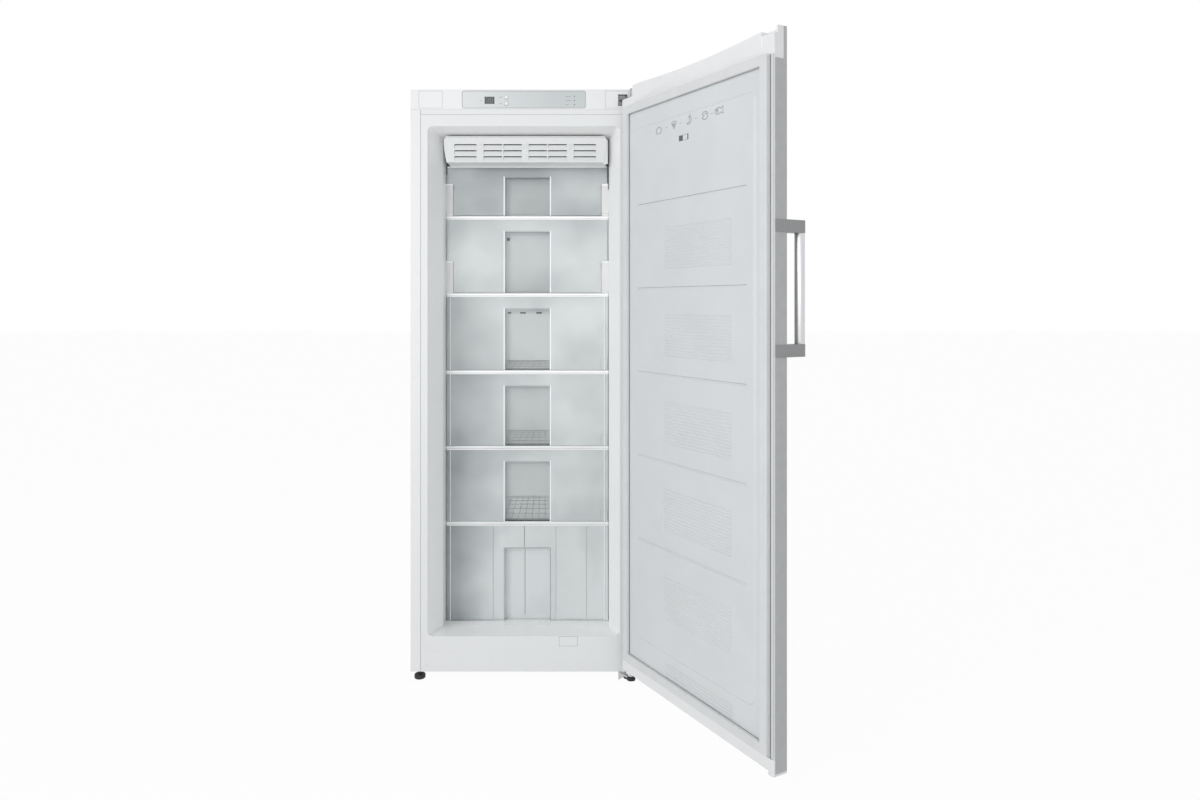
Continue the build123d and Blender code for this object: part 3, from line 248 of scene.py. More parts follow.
white_liner = liner_finish()
white_plastic = moulded("white_plastic", (242, 243, 244), 0.32)
housing_white = moulded("housing_white", (228, 230, 231), 0.32)
white_fan = moulded("white_fan", (225, 226, 226), 0.45)
foam = Finish("foam", (236, 222, 180), 0.9).mottle(120, 0.08).grain(500, 0.0006)
rim_plastic = moulded("rim_plastic", (170, 172, 173), 0.4)
mark_grey = moulded("mark_grey", (150, 152, 153), 0.5)
icon_grey = moulded("icon_grey", (122, 125, 127), 0.5)
seam_grey = moulded("seam_grey", (176, 178, 179), 0.6)
# pure white for painted highlights and for painted light laid over shade
painted_light_white = moulded("painted_light_white", (252, 253, 253), 0.2)
# dark grey for a joint line and for painted shade in gaps
dark_joint_and_painted_shade = moulded("dark_joint_and_painted_shade", (84, 88, 90), 0.7)
dark_mark = moulded("dark_mark", (96, 98, 99), 0.5)
black_plastic = moulded("black_plastic", (44, 45, 46), 0.5, 0.00005)
rubber = Finish("rubber", (38, 38, 39), 0.75).mottle(60, 0.1).grain(700, 0.00008)
grey_pan = moulded("grey_pan", (150, 151, 153), 0.5, 0.00006)
black_enamel = Finish("black_enamel", (26, 26, 27), 0.35)
black_enamel.mottle(20, 0.1).sheen_spread(60, 0.08).grain(600, 0.00005)
aluminium = Finish("aluminium", (205, 207, 209), 0.4, metallic=0.9)
aluminium.mottle(120, 0.05).sheen_spread(150, 0.08).grain(1500, 0.00002)
seal = Finish("seal", (226, 228, 229), 0.55).mottle(25, 0.02).grain(1200, 0.00003)
handle_grey = Finish("handle_grey", (152, 153, 154), 0.42, metallic=0.3)
handle_grey.mottle(200, 0.03).sheen_spread(120, 0.05).grain(2500, 0.00002)
handle_alu = Finish("handle_alu", (214, 215, 217), 0.4, metallic=1.0)
handle_alu.mottle(60, 0.02, (8, 8, 0.2)).sheen_spread(300, 0.06, (10, 10, 0.1))
handle_alu.grain(700, 0.00001, (10, 10, 0.1))
silver_trim = Finish("silver_trim", (238, 240, 241), 0.16, metallic=0.1, specular=0.6)
silver_trim.mottle(14, 0.03).grain(400, 0.00002)
lamp_lens = Finish("lamp_lens", (92, 94, 96), 0.2).mottle(200, 0.05)
button_white = moulded("button_white", (243, 244, 245), 0.3)
display_glass = Finish("display_glass", (84, 87, 89), 0.12).mottle(150, 0.08)
display_segment = moulded("display_segment", (146, 149, 151), 0.3)

clear_basket = Finish("clear_basket", (240, 244, 245), 0.12, specular=0.6)
clear_basket.mottle(6, 0.03).grain(40, 0.00006).see_through(0.1, 0.4)
bracket_clear = Finish("bracket_clear", (250, 252, 252), 0.2)
bracket_clear.mottle(20, 0.03).see_through(0.8, 0.95)
shelf_glass = Finish("shelf_glass", (222, 232, 230), 0.04, specular=0.7)
shelf_glass.mottle(8, 0.01).see_through(0.06, 0.35)


def panel_finish():
    """The control panel's silvery film, with a painted reflection: its colour a little deeper
    towards its right end.
    """
    made = Finish("panel_silver", (216, 219, 220), 0.3, metallic=0.1)
    made.sheen_spread(80, 0.04).grain(1800, 0.00001)
    half = 0.16
    # painted reflection: lighter at the left end, darker towards the right
    across = made.plus(made.split()["X"], made.drift(14, 2, 0.02))
    along = made.map_range(across, ORIGIN.x - half, ORIGIN.x + half)
    made.colour_by(along, grey((222, 224, 226)), grey((200, 206, 207)), (0, 0.75))
    return made


panel_silver = panel_finish()

# the finger recess in a clear front, in metres
WINDOW_HALF = 0.0621  # half the width of its back
RIM_AT, RIM_HALF = 0.0636, 0.0016  # its sides' painted highlights: where they stand from the middle, and half their width
BAND = 0.013  # the painted shadow of the recess's lintel: its height under the upper edge
# haze of a clear front: all over, in clouds, at a glancing angle and in the painted lintel shadow
# under the recess's upper edge
HAZE, HAZE_CLOUD, HAZE_GLANCING, HAZE_BAND = 0.5, 0.2, 0.3, 0.2
# its painted shade: darker away from this share of its height, darker in the painted lintel shadow,
# and random clouds of tone
BRIGHTEST_HEIGHT, BOW_SHADE, BAND_SHADE, CLOUD_SHADE = 0.42, 0.35, 0.35, 1.1


def clear_front(name, lintel, tones, recess_haze):
    """Hazy plastic, clearer at the back of the finger recess, with painted highlights down the
    recess's sides and painted shade across it.
    """
    made = Finish(f"{name}_clear", (222, 227, 228), 0.12, specular=0.65).grain(30, 0.00005)
    place = made.split()
    across, up = place["X"], place["Z"]
    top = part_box(name)[1].z - lintel / 1000
    beside = made.apart(across, ORIGIN.x)
    window = made.times(made.below(beside, WINDOW_HALF), made.below(up, top + 0.0001))
    # the band under the recess's upper edge: painted shadow of its lintel
    band = made.times(window, made.math("GREATER_THAN", up, top - BAND))
    # the recess's sides: painted highlights, white and opaque
    rim_top = 0 if name == "bottom_drawer_front" else top + 0.003
    rim = made.times(made.below(made.apart(beside, RIM_AT), RIM_HALF), made.below(up, rim_top))

    glancing = made.times(made.glancing(), HAZE_GLANCING)
    cloud = made.times(made.noise(7, 1, (1, 1, 0.5)), HAZE_CLOUD)
    haze = made.plus(made.plus(glancing, HAZE), cloud)
    clear = made.plus(made.plus(glancing, recess_haze), made.times(band, HAZE_BAND))
    alpha = made.times(haze, made.minus(1, window))
    alpha = made.plus(alpha, made.times(clear, window))
    made.link(made.math("MAXIMUM", alpha, rim), made.shader.inputs["Alpha"])

    # painted shade: darker at the left end, where the cabinet's side wall shades the front, and a
    # painted brightness at the back of the recess
    left, middle, right = tones
    shade = made.map_range(across, ORIGIN.x - 0.19, ORIGIN.x - 0.07, left, right)
    shade = made.plus(shade, made.times(window, middle - right))
    low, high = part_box(name)
    height = made.math("DIVIDE", made.minus(up, low.z), high.z - low.z)
    shade = made.minus(shade, made.times(made.apart(height, BRIGHTEST_HEIGHT), BOW_SHADE))
    shade = made.plus(shade, made.drift(6, 2, CLOUD_SHADE, 0.46))
    shade = made.minus(shade, made.times(band, BAND_SHADE))
    shade = made.math("MAXIMUM", shade, rim)
    made.colour_by(shade, grey((168, 177, 180)), grey((249, 254, 255)))
    return made


# how far below its top edge each front's finger recess starts, in millimetres
front_lintels = {
    "bottom_drawer_front": 63.0,
    "lower_drawer_front": 33.0,
    "middle_drawer_front": 33.0,
    "upper_drawer_front": 33.0,
    "lower_flap": 33.0,
    "upper_flap": 28.0,
}
# painted shade of each front: its brightness at its left end, at the back of its recess and at its
# right end, and the haze of its recess's back
front_tones = {
    "bottom_drawer_front": ((0.25, 1.2, 1.15), 0.65),
    "lower_drawer_front": ((0.5, 1.0, 0.9), 0.42),
    "middle_drawer_front": ((0.5, 1.0, 0.95), 0.42),
    "upper_drawer_front": ((0.65, 1.05, 0.95), 0.45),
    "lower_flap": ((0.8, 0.85, 0.85), 0.45),
    "upper_flap": ((0.6, 0.7, 0.5), 0.45),
}


def door_liner_finish():
    """The door's liner: fine wavy ribs in patches between its grooves."""
    made = moulded("door_liner_white", (224, 227, 229), 0.36)
    closed = made.node("ShaderNodeMapping", vector_type="TEXTURE")
    closed.inputs["Location"].default_value = (HINGE.x, HINGE.y, 0)
    closed.inputs["Rotation"].default_value = (0, 0, DOOR_ANGLE)
    made.link(made.place, closed.inputs["Vector"])
    place = made.split(closed.outputs["Vector"])
    across, up = place["X"], place["Z"]
    ribs = made.node("ShaderNodeTexWave", wave_type="BANDS", bands_direction="Z")
    ribs.inputs["Scale"].default_value = 42
    ribs.inputs["Distortion"].default_value = 1.2
    ribs.inputs["Detail"].default_value = 0
    ribs.inputs["Detail Scale"].default_value = 0.35
    made.link(closed.outputs["Vector"], ribs.inputs["Vector"])
    # each patch fills 0.48 of the pitch between two grooves, up to the level 1.2
    patch_middle, patch_half, patch_start, patches_end = -0.035 - HINGE_X / 1000, 0.128, 0.3975, 1.2
    inside = made.below(made.apart(across, patch_middle), patch_half)
    phase = made.math("DIVIDE", made.minus(up, patch_start), GROOVE_PITCH / 1000)
    field = made.apart(made.math("FRACT", phase), 0.46)
    inside = made.times(inside, made.below(field, 0.24))
    inside = made.times(inside, made.below(up, patches_end))
    made.bump(made.times(ribs.outputs["Fac"], inside), 0.0009)
    return made


door_liner = door_liner_finish()

finishes = {
    "outer_shell": white_enamel,
    "back_panel": galvanised,
    "base_tray": galvanised,
    "inner_liner": white_liner,
    "cabinet_insulation": foam,
    "control_fascia": white_plastic,
    "control_panel": panel_silver,
    "display_window": display_glass,
    "indicator_lamps": lamp_lens,
    "power_button": button_white,
    "set_button": button_white,
    "hinge_covers": white_plastic,
    "evaporator_cover": housing_white,
    "evaporator_tube": aluminium,
    "evaporator_fins": aluminium,
    "fan_rotor": white_fan,
    "fan_motor": black_plastic,
    "air_duct": white_liner,
    "shelf_trims": silver_trim,
    "flap_brackets": bracket_clear,
    "compressor": black_enamel,
    "compressor_grommets": rubber,
    "relay_cover": black_plastic,
    "drip_pan": grey_pan,
    "condenser_tube": black_enamel,
    "condenser_wires": black_enamel,
    "cord_gland": black_plastic,
    "left_foot": black_plastic,
    "right_foot": black_plastic,
    "left_roller": black_plastic,
    "right_roller": black_plastic,
    "roller_axles": hinge_steel,
    "top_hinge_bracket": hinge_dark,
    "bottom_hinge_bracket": hinge_steel,
    "screws": hinge_steel,
    "door_skin": silver_enamel,
    "door_liner": door_liner,
    "door_insulation": foam,
    "door_top_cap": white_plastic,
    "door_bottom_cap": white_plastic,
    "hinge_bushes": white_fan,
    "door_gasket": seal,
    "handle_blocks": handle_grey,
    "handle_bar": handle_alu,
}
for n in range(5):
    finishes[f"shelf_{n + 1}"] = shelf_glass
for name in ("bottom", "lower", "middle", "upper"):
    finishes[f"{name}_drawer_basket"] = clear_basket
for name, lintel in front_lintels.items():
    finishes[name] = clear_front(name, lintel, *front_tones[name])
for name, finish in finishes.items():
    slots = nodes[name].data.materials
    slots.clear()
    slots.append(finish.material)

# ------------------------------------------------------------------ softened edges
# radii in millimetres
edge_radius = {
    "outer_shell": 0.5,
    "inner_liner": 0.7,
    "control_fascia": 0.6,
    "control_panel": 0.5,
    "hinge_covers": 0.3,
    "evaporator_cover": 0.4,
    "shelf_trims": 0.4,
    "flap_brackets": 1.0,
    "door_skin": 0.3,
    "door_liner": 0.5,
    "door_top_cap": 0.8,
    "door_bottom_cap": 1.0,
    "door_gasket": 0.4,
    "handle_blocks": 0.5,
    "handle_bar": 0.4,
    "display_window": 0.2,
    "compressor": 0.6,
    "relay_cover": 0.8,
    "drip_pan": 0.6,
    "top_hinge_bracket": 0.4,
    "bottom_hinge_bracket": 0.4,
    "air_duct": 0.4,
}
for name, radius in edge_radius.items():
    piece = nodes[name]
    weld = piece.modifiers.new("weld", "WELD")
    weld.merge_threshold = 0.000005
    bevel = piece.modifiers.new("edges", "BEVEL")
    bevel.width = radius / 1000
    bevel.segments = 2
    bevel.limit_method = "ANGLE"
    bevel.angle_limit = radians(40)
    bevel.use_clamp_overlap = True
    bevel.harden_normals = False


# ------------------------------------------------------------------ fine lines and marks
def wire(name, paths, radius, finish, body, closed=False):
    """Thin round lines through points in the row frame, as one piece."""
    curve = bpy.data.curves.new(name, "CURVE")
    curve.dimensions = "3D"
    curve.bevel_depth = radius / 1000
    curve.bevel_resolution = 2
    for path in paths:
        spline = curve.splines.new("POLY")
        spline.points.add(len(path) - 1)
        for point, place in zip(spline.points, path):
            point.co = (*place, 1)
        spline.use_cyclic_u = closed
    piece = bpy.data.objects.new(name, curve)
    bpy.context.scene.collection.objects.link(piece)
    curve.materials.append(finish.material)
    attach(piece, body)


def mesh_piece(name, points, faces, material):
    mesh = bpy.data.meshes.new(name)
    mesh.from_pydata(points, [], faces)
    mesh.update()
    mesh.materials.append(material)
    piece = bpy.data.objects.new(name, mesh)
    bpy.context.scene.collection.objects.link(piece)
    return piece


BOX_FACES = ((0, 1, 3, 2), (4, 6, 7, 5), (0, 4, 5, 1), (2, 3, 7, 6), (0, 2, 6, 4), (1, 5, 7, 3))


def plates(name, corners, finish, body, place=at):
    """Thin flat marks, each from its X and Z limits and the Y of its front and back."""
    points = []
    faces = []
    for x0, x1, z0, z1, y0, y1 in corners:
        base = len(points)
        for x in (x0, x1):
            for y in (y0, y1):
                for z in (z0, z1):
                    points.append(place(x, y, z))
        for face in BOX_FACES:
            faces.append([base + n for n in face])
    piece = mesh_piece(name, points, faces, finish.material)
    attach(piece, body)


def arc(centre, radius_x, radius_z, start, end, y, steps=16):
    """Points of an arc on the door's panel, closed-door millimetres."""
    points = []
    for n in range(steps + 1):
        turn = radians(start + (end - start) * n / steps)
        x, z = centre[0] + radius_x * cos(turn), centre[1] + radius_z * sin(turn)
        points.append(on_door(x, y, z))
    return points


def corner_lines(points, y):
    return [on_door(x, y, z) for x, z in points]


FACE = -5.95  # the raised panel's face, closed-door Y
loaf = [
    arc((119, 1407), 11, 8, 0, 180, FACE),
    corner_lines([(108, 1407), (110, 1400), (128, 1400), (130, 1407)], FACE),
]
wedge = [
    corner_lines([(44, 1415), (54, 1400), (64, 1415)], FACE),
    arc((54, 1414), 10, 4, 0, 180, FACE),
    arc((52, 1412), 1.4, 1.4, 0, 360, FACE, 8),
    arc((57, 1411), 1.4, 1.4, 0, 360, FACE, 8),
    arc((54, 1407), 1.4, 1.4, 0, 360, FACE, 8),
]
crescent = [
    arc((-5, 1410), 11, 9, 100, 300, FACE),
    arc((-1, 1411), 9, 7, 110, 290, FACE),
    corner_lines([(-8, 1418), (-12, 1422)], FACE),
]
ring = [
    arc((-68, 1409), 11, 9, 20, 340, FACE),
    corner_lines([(-58, 1412), (-66, 1410), (-60, 1405)], FACE),
    arc((-71, 1411), 3, 3, 0, 180, FACE, 8),
]
fish = [
    arc((-117, 1410), 12, 7, -150, 150, FACE),
    corner_lines([(-127, 1413.5), (-134, 1419), (-134, 1401), (-127, 1406.5)], FACE),
    arc((-111, 1412), 1.2, 1.2, 0, 360, FACE, 8),
    arc((-118, 1410), 4, 5, -60, 60, FACE, 8),
]
wire("door_pictograms", loaf + wedge + crescent + ring + fish, 0.6, icon_grey, "door")
dots = []
for x in (86, 26, -36, -94):
    for n in (-3, 3):
        dots.append(arc((x + n, 1409), 0.6, 0.6, 0, 360, FACE, 6))
wire("door_pictogram_dots", dots, 0.5, icon_grey, "door")

MARK_FOOT, MARK_HEAD = 1367, 1380
squares = []
for x0, x1 in ((18, 34), (-4, 0)):
    squares.append((x0, x1, MARK_FOOT, MARK_HEAD, FACE - 0.1, FACE + 0.05))
plates("door_panel_mark", squares, dark_mark, "door", on_door)
square_lines = [corner_lines([(18, z), (-4, z)], FACE) for z in (MARK_HEAD, MARK_FOOT)]
wire("door_panel_mark_frame", square_lines, 0.3, dark_mark, "door")

# control panel: rings round the buttons, plain strokes in place of words, an unlit numeral display
BUTTON_X, BUTTON_LEVELS, RING_RADIUS = -46, (1529.6, 1513.0), 5.6
rings = []
for level in BUTTON_LEVELS:
    ring = []
    for n in range(24):
        x, z = RING_RADIUS * cos(n * pi / 12), RING_RADIUS * sin(n * pi / 12)
        ring.append(at(BUTTON_X + x, 0.25, level + z))
    rings.append(ring)
wire("button_rings", rings, 0.3, rim_plastic, "cabinet", closed=True)
strokes = [
    (-66, -56, 1529, 1530.2),
    (-64, -58, 1512.4, 1513.6),
    (-114, -110, 1520.2, 1521.2),
    (109, 123, 1531, 1532.2),
    (110, 124, 1520.2, 1521.4),
    (109, 117, 1509.4, 1510.6),
]
strokes = [(*stroke, 0.2, 0.35) for stroke in strokes]
plates("panel_strokes", strokes, mark_grey, "cabinet")
segments = []
THIN, LONG = 0.7, 2.4  # half the width and half the length of a segment
for middle in (-95.5, -85.0):
    for z in (1514.5, 1521.2, 1528):
        segments.append((middle - LONG, middle + LONG, z - THIN, z + THIN, 0.22, 0.35))
    for x in (middle - 3.4, middle + 3.4):
        for z in (1517.9, 1524.6):
            segments.append((x - THIN, x + THIN, z - LONG, z + LONG, 0.22, 0.35))
plates("display_segments", segments, display_segment, "cabinet")
panel_edge = []
PANEL_X, PANEL_FOOT, PANEL_HEAD, PANEL_CORNER = 156.8, 1506, 1541, 5
for x, z, start in (
    (PANEL_X, PANEL_HEAD, 0),
    (-PANEL_X, PANEL_HEAD, 90),
    (-PANEL_X, PANEL_FOOT, 180),
    (PANEL_X, PANEL_FOOT, 270),
):
    for n in range(7):
        turn = radians(start + 15 * n)
        panel_edge.append(at(x + PANEL_CORNER * cos(turn), 0.35, z + PANEL_CORNER * sin(turn)))
wire("panel_outline", [panel_edge], 0.7, mark_grey, "cabinet", closed=True)

# cabinet front: seams between flange, liner and fascia, and the faint outlines below the mouth
seams = [[at(side * FLANGE_X, 0.3, 22.5), at(side * FLANGE_X, 0.3, 1496.5)] for side in (-1, 1)]
wire("front_side_seams", seams, 0.8, seam_grey, "cabinet")
seams = [[at(-297, 0.4, 1497), at(297, 0.4, 1497)]]
seams.append([at(-FLANGE_X, 0.1, 1484), at(FLANGE_X, 0.1, 1484)])
wire("front_seams", seams, 0.5, seam_grey, "cabinet")
outline = [at(x, 0.1, z) for x, z in ((93, 89), (141, 89), (141, 114), (93, 114))]
wire("front_outline", [outline], 0.5, mark_grey, "cabinet", closed=True)
wire("front_line", [[at(-FLANGE_X, 0.15, 76), at(FLANGE_X, 0.15, 76)]], 0.3, white_fan, "cabinet")
lip_left = ((-247, 119), (-243, 115.5), (-236, 113.9))
lip = [at(x, 1.3, z) for x, z in lip_left]
lip += [at(-x, 1.3, z) for x, z in reversed(lip_left)]
wire("mouth_lip", [lip], 1.5, white_liner, "cabinet")
wire("front_tick", [[at(-255.5, 0.1, 36), at(-254, 0.1, 41)]], 0.5, seam_grey, "cabinet")

# ------------------------------------------------------------------ lines of the clear fronts
FRONT_Y = 112.0  # front of the drawers' fronts, flaps and shelf trims
RECESS_Y = 130.7  # back of their finger recesses
RECESS_HALF = 63.5
DRAWER_HALF = 212.0


def local(point):
    """Row-frame point back to the cabinet's millimetres."""
    return (point - ORIGIN) * 1000


bodies = {name: name.replace("_front", "") for name in front_lintels}
for name, lintel in front_lintels.items():
    low, high = (local(corner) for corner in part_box(name))
    head_z = high.z - lintel + 1.5
    foot = low.z + 0.8
    sides = [[at(x, FRONT_Y, foot), at(x, FRONT_Y, head_z)] for x in (-RECESS_HALF, RECESS_HALF)]
    head = [[at(-RECESS_HALF, FRONT_Y, head_z), at(RECESS_HALF, FRONT_Y, head_z)]]
    # the line along the recess's upper edge is painted shade under its lintel
    if name == "bottom_drawer_front":
        wire(f"{name}_recess_edge", sides + head, 0.6, mark_grey, bodies[name])
    else:
        wire(f"{name}_recess_head", head, 0.35, rim_plastic, bodies[name])
    if "drawer" in name:
        # bright lines down the drawer front's ends: painted highlights
        ends = []
        for x in (-DRAWER_HALF, DRAWER_HALF):
            ends.append([at(x, FRONT_Y, foot), at(x, FRONT_Y, high.z - 1)])
        wire(f"{name}_ends", ends, 1.1, painted_light_white, bodies[name])
    if name in ("lower_drawer_front", "middle_drawer_front", "upper_drawer_front"):
        corners = ((201, foot), (201, foot + 29), (220, foot + 29), (220, foot))
        ear = [at(x, FRONT_Y, z) for x, z in corners]
        wire(f"{name}_ear_edge", [ear], 0.4, rim_plastic, bodies[name])

# the bottom drawer's fine ribs, on its face and on the back of its recess
FACE_RIB_Y, RECESS_RIB_Y = 111.9, 130.8
ribs = [[at(x, FACE_RIB_Y, 122), at(x, FACE_RIB_Y, 374)] for x in (-94, 78.5, 163)]
wire("bottom_drawer_ribs", ribs, 0.5, rim_plastic, "bottom_drawer")
middle_rib = [
    [at(-8, RECESS_RIB_Y, 126), at(-8, RECESS_RIB_Y, 314)],
    [at(-8, FACE_RIB_Y, 318), at(-8, FACE_RIB_Y, 376)],
]
wire("bottom_drawer_middle_rib", middle_rib, 0.8, mark_grey, "bottom_drawer")

marks = []
for x, wide in ((-51, 10), (-13.5, 16), (31, 16)):
    marks.append((x - wide / 2, x + wide / 2, 960, 964.4, RECESS_Y, RECESS_Y + 0.25))
plates("upper_drawer_marks", marks, dark_mark, "upper_drawer")
mark = (-58, -50, 1162, 1170, RECESS_Y, RECESS_Y + 0.25)
plates("lower_flap_mark", [mark], dark_mark, "lower_flap")

# the basket's slotted floor, as it shows through the back of each finger recess
for name, reach_up in (("lower", 62), ("middle", 37), ("upper", 22)):
    foot = local(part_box(f"{name}_drawer_front")[0]).z + 3
    rows = []
    for n in range(7):
        level = foot + reach_up * (1 - (1 - n / 6) ** 1.5)
        rows.append([at(-60, RECESS_Y, level), at(60, RECESS_Y, level)])
    for n in range(-3, 4):
        bottom = at(19 * n - 8, RECESS_Y, foot)
        rows.append([bottom, at(15 * n + 2, RECESS_Y, foot + reach_up)])
    wire(f"{name}_recess_grid", rows, 0.45, mark_grey, f"{name}_drawer")

# painted highlights round the edges of the flaps' brackets
bracket_corners = ((205.0, 10.7), (205.0, 85.3), (223.3, 85.3), (223.3, 10.7))
for n, level in enumerate(FLAP_SHELVES):
    edges = []
    for side in (-1, 1):
        edges.append([at(side * x, 110.5, level + z) for x, z in bracket_corners])
    wire(f"flap_bracket_edges_{n + 1}", edges, 1.0, painted_light_white, "cabinet", closed=True)

# pale plates over the shaded blades of the housing's louvres, painted light, and a dark line of
# painted shade in the gap beside the housing
LOUVRE_FOOT, LOUVRE_PITCH = 1401.0, 16.1
LOUVRE_FACES = ((0, 1, 3, 2), (2, 3, 5, 4), (4, 5, 7, 6), (6, 7, 1, 0), (0, 2, 4, 6), (1, 7, 5, 3))
points, faces = [], []
for row in range(3):
    foot = LOUVRE_FOOT - LOUVRE_PITCH * row
    for span in ((9.03, 57.96), (61.95, 111.09), (129.99, 189.0)):
        for x0, x1 in (span, (-span[1], -span[0])):
            base = len(points)
            z0, z1 = foot + 0.3, foot + 10.2
            for y, z in ((42.4, z0), (44.6, z1), (45.2, z1), (43.4, z0)):
                points += [at(x0 + 0.3, y, z), at(x1 - 0.3, y, z)]
            for face in LOUVRE_FACES:
                faces.append([base + n for n in face])
louvres = mesh_piece("louvre_light_plates", points, faces, housing_white.material)
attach(louvres, "cabinet")
wire("housing_side_gap", [[at(222.6, 66, 1296), at(222.6, 66, 1428)]], 1.1, dark_joint_and_painted_shade, "cabinet")

# outlines of the two cover plates on the fascia
low, high = (local(corner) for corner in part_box("hinge_covers"))
plate_lines = []
for side in (-1, 1):
    corners = ((214, low.z), (275.5, low.z), (275.5, high.z), (214, high.z))
    plate_lines.append([at(side * x, low.y - 0.05, z) for x, z in corners])
wire("cover_plate_edges", plate_lines, 0.45, seam_grey, "cabinet", closed=True)

# clear plates that cover the shade in the gaps under the flaps' brackets: painted light
feet = []
for level in FLAP_SHELVES:
    for side in (-1, 1):
        x = sorted((side * 204.5, side * 223.5))
        feet.append((x[0], x[1], level + 2.1, level + 9.9, 112.4, 113.6))
plates("flap_bracket_gap_covers", feet, bracket_clear, "cabinet")

# bright tops on the floor pads in front of the bottom drawer: painted light
pads = [(x - 17.6, x + 17.6, 115.26, 115.4, 72.4, 106.6) for x in (-134, -43, 48, 139)]
plates("floor_pad_tops", pads, painted_light_white, "cabinet")

# pale strips and a plate that cover the shade in the narrow gaps beside the fronts and round the
# housing: painted light
cover_low, cover_high = (local(corner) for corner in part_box("evaporator_cover"))
upper_high = local(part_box("upper_flap")[1])
lower_high = local(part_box("lower_flap")[1])
EDGE_X = 225.2  # the inside of the liner's side walls
SIDE_Y, BETWEEN_Y, ABOVE_Y = (122.5, 123.5), (110.9, 111.6), (110.6, 111.4)
strips = [(side * 223.2, side * EDGE_X, 118, 1010, *SIDE_Y) for side in (-1, 1)]
for name in front_lintels:
    if name != "upper_flap":
        top = local(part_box(name)[1]).z
        strips.append((-221, 221, top + 0.2, top + 3.2, *BETWEEN_Y))
for side in (-1, 1):
    strips.append((side * (lower_high.x + 0.4), side * EDGE_X, 1101, 1221, *SIDE_Y))
strips.append((-upper_high.x - 0.4, -EDGE_X, 1313, 1345, *SIDE_Y))
for level in FLAP_SHELVES:
    for side in (-1, 1):
        strips.append((side * 204.5, side * 225, level + 85, level + 90.5, *ABOVE_Y))
strips.append((-upper_high.x, upper_high.x, upper_high.z - 1, cover_low.z - 0.2, *ABOVE_Y))
above = (cover_high.z - 0.5, cover_high.z + 1.4)
strips.append((cover_low.x + 4, cover_high.x - 4, *above, 43.5, 44.5))
below = (cover_low.z - 0.5, cover_low.z - 0.2)
strips.append((cover_low.x + 8, cover_high.x - 2, *below, 44, 110))
plates("gap_light_strips", strips, painted_light_white, "cabinet")
side_fill = (208, 220.8, cover_low.z - 4.5, cover_high.z - 8, 44.6, 46)
plates("housing_side_fill", [side_fill], housing_white, "cabinet")
# dark line where the bottom drawer's front meets the floor: painted shadow
foot_line = [at(-210, 111.6, 119.4), at(210, 111.6, 119.4)]
wire("bottom_drawer_foot_shadow", [foot_line], 0.5, mark_grey, "bottom_drawer")

# dark foot under the lower hinge's pin
ROUND = 32
FOOT_X, FOOT_RADIUS = 281, 11
points = []
for n in range(ROUND):
    turn = 2 * pi * n / ROUND
    x, y = FOOT_X + FOOT_RADIUS * cos(turn), HINGE_Y + FOOT_RADIUS * sin(turn)
    points += [at(x, y, 11.5), at(x, y, 22.15)]
faces = [tuple(range(2 * ROUND - 2, -2, -2)), tuple(range(1, 2 * ROUND, 2))]
for n in range(ROUND):
    here, after = 2 * n, (2 * n + 2) % (2 * ROUND)
    faces.append((here, after, after + 1, here + 1))
pin_foot = mesh_piece("hinge_pin_foot", points, faces, rubber.material)
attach(pin_foot, "cabinet")

# ------------------------------------------------------------------ lines of the door
# the gasket's dark outline and the dark line by the free edge: painted shadow of the gasket; the
# bottom cap's line is a dark joint
GAP_X = 262.0  # just outside the gasket's inner edge
corners = ((GAP_X, 1474.7), (-GAP_X, 1474.7), (-GAP_X, 88.3), (GAP_X, 88.3))
wire("gasket_gap", [corner_lines(corners, -9.3)], 1.0, dark_joint_and_painted_shade, "door", closed=True)
wire("door_side_gap", [corner_lines([(-284.6, 66), (-284.6, 1493)], -9.7)], 0.6, dark_joint_and_painted_shade, "door")
wire("door_edge_gap", [corner_lines([(-294, 66), (-294, 1493)], -10)], 0.5, rim_plastic, "door")
wire("bottom_cap_joint", [corner_lines([(-205, 64.5), (-290, 64.5)], -10)], 0.6, dark_joint_and_painted_shade, "door")
# a painted highlight down the top cap's step
wire("top_cap_step", [corner_lines([(-257, 1535), (-257, 1512)], -10)], 1.2, painted_light_white, "door")
# grey lines along the upper edges of the door's grooves: painted shade in the grooves
grooves = []
for n in range(5):
    level = GROOVE_FIRST + GROOVE_PITCH * n
    grooves.append(corner_lines([(-213, level), (213, level)], -7.1))
wire("door_groove_shade_lines", grooves, 0.5, rim_plastic, "door")

# ------------------------------------------------------------------ floor, light and camera
FLOOR_GLOW = 0.96  # share of the floor's white that takes no shadow
ROOM_STRENGTH = 0.52  # light that the world throws on the object


def seen_by(tree, *rays):
    """One for rays of the named kinds, else zero."""
    kinds = tree.nodes.new("ShaderNodeLightPath").outputs
    seen = kinds[rays[0]]
    for ray in rays[1:]:
        either = tree.nodes.new("ShaderNodeMath")
        either.operation = "MAXIMUM"
        tree.links.new(seen, either.inputs[0])
        tree.links.new(kinds[ray], either.inputs[1])
        seen = either.outputs[0]
    return seen


def mix(tree, share, first, second, out):
    both = tree.nodes.new("ShaderNodeMixShader")
    tree.links.new(share, both.inputs["Fac"])
    tree.links.new(first.outputs[0], both.inputs[1])
    tree.links.new(second.outputs[0], both.inputs[2])
    tree.links.new(both.outputs[0], out.inputs["Surface"])


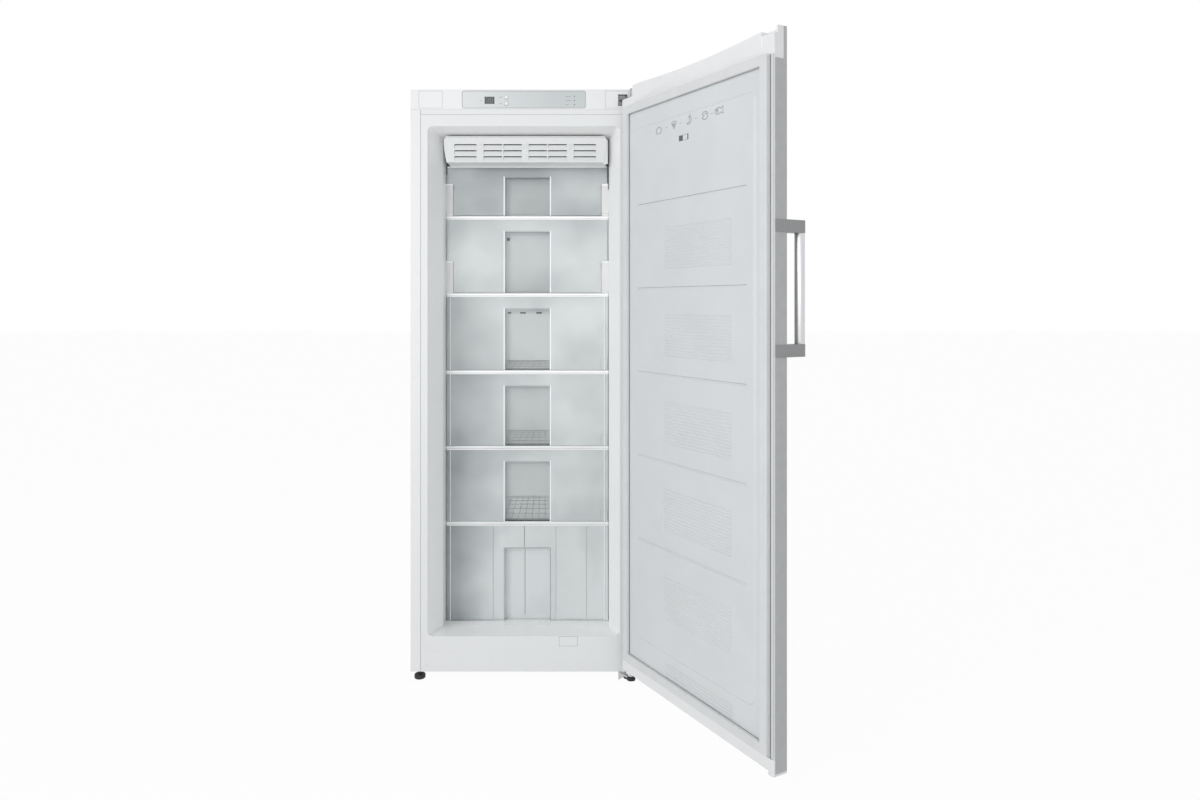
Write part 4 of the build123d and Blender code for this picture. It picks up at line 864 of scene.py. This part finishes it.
def floor_finish():
    """White where the camera sees it, with the object's soft shadow kept."""
    made = bpy.data.materials.new("floor_white")
    made.use_nodes = True
    tree = made.node_tree
    tree.nodes.clear()
    plain = tree.nodes.new("ShaderNodeBsdfDiffuse")
    plain.inputs["Color"].default_value = (0.9, 0.9, 0.9, 1)
    glow = tree.nodes.new("ShaderNodeEmission")
    glow.inputs["Color"].default_value = (1, 1, 1, 1)
    glow.inputs["Strength"].default_value = 1
    share = tree.nodes.new("ShaderNodeMath")
    share.operation = "MULTIPLY"
    share.inputs[1].default_value = FLOOR_GLOW
    tree.links.new(seen_by(tree, "Is Camera Ray", "Is Glossy Ray"), share.inputs[0])
    mix(tree, share.outputs[0], plain, glow, tree.nodes.new("ShaderNodeOutputMaterial"))
    return made


reach = 30
corners = [(-reach, -reach, 0), (reach, -reach, 0), (reach, reach, 0), (-reach, reach, 0)]
floor = mesh_piece("floor", corners, [(0, 1, 2, 3)], floor_finish())

world = bpy.data.worlds.new("studio")
bpy.context.scene.world = world
world.use_nodes = True
sky = world.node_tree
sky.nodes.clear()
room = sky.nodes.new("ShaderNodeBackground")
room.inputs["Color"].default_value = (1, 1, 1, 1)
room.inputs["Strength"].default_value = ROOM_STRENGTH
white = sky.nodes.new("ShaderNodeBackground")
white.inputs["Color"].default_value = (1, 1, 1, 1)
white.inputs["Strength"].default_value = 1
sky_seen = seen_by(sky, "Is Camera Ray", "Is Glossy Ray", "Is Transmission Ray")
mix(sky, sky_seen, room, white, sky.nodes.new("ShaderNodeOutputWorld"))


def lamp(name, place, aim, size, power):
    data = bpy.data.lights.new(name, "AREA")
    data.shape = "RECTANGLE"
    data.size, data.size_y = size
    data.energy = power
    light = bpy.data.objects.new(name, data)
    bpy.context.scene.collection.objects.link(light)
    light.location = place
    light.rotation_euler = (Vector(aim) - Vector(place)).to_track_quat("-Z", "Y").to_euler()


lamp("key", (-2.6, -3.2, 2.5), (0, 0, 0.8), (1.6, 1.6), 42)
lamp("fill", (-0.7, -4.8, 1.2), (-0.1, 0, 0.8), (3.0, 2.2), 38)

# the photograph's camera, in pixels of a picture 1200 wide and 800 high
FOCAL, WIDTH, MIDDLE, HORIZON = 878.6, 1200, 400, 304.3
SENSOR = 36
camera_data = bpy.data.cameras.new("camera")
camera_data.sensor_fit = "HORIZONTAL"
camera_data.sensor_width = SENSOR
camera_data.lens = FOCAL / WIDTH * SENSOR
camera_data.shift_y = -(MIDDLE - HORIZON) / WIDTH
camera_data.clip_end = 100
camera = bpy.data.objects.new("camera", camera_data)
bpy.context.scene.collection.objects.link(camera)
camera.location = at(200, -2306, 986)
camera.rotation_euler = (radians(90), 0, 0)
bpy.context.scene.camera = camera
bpy.context.scene.view_settings.view_transform = "Standard"
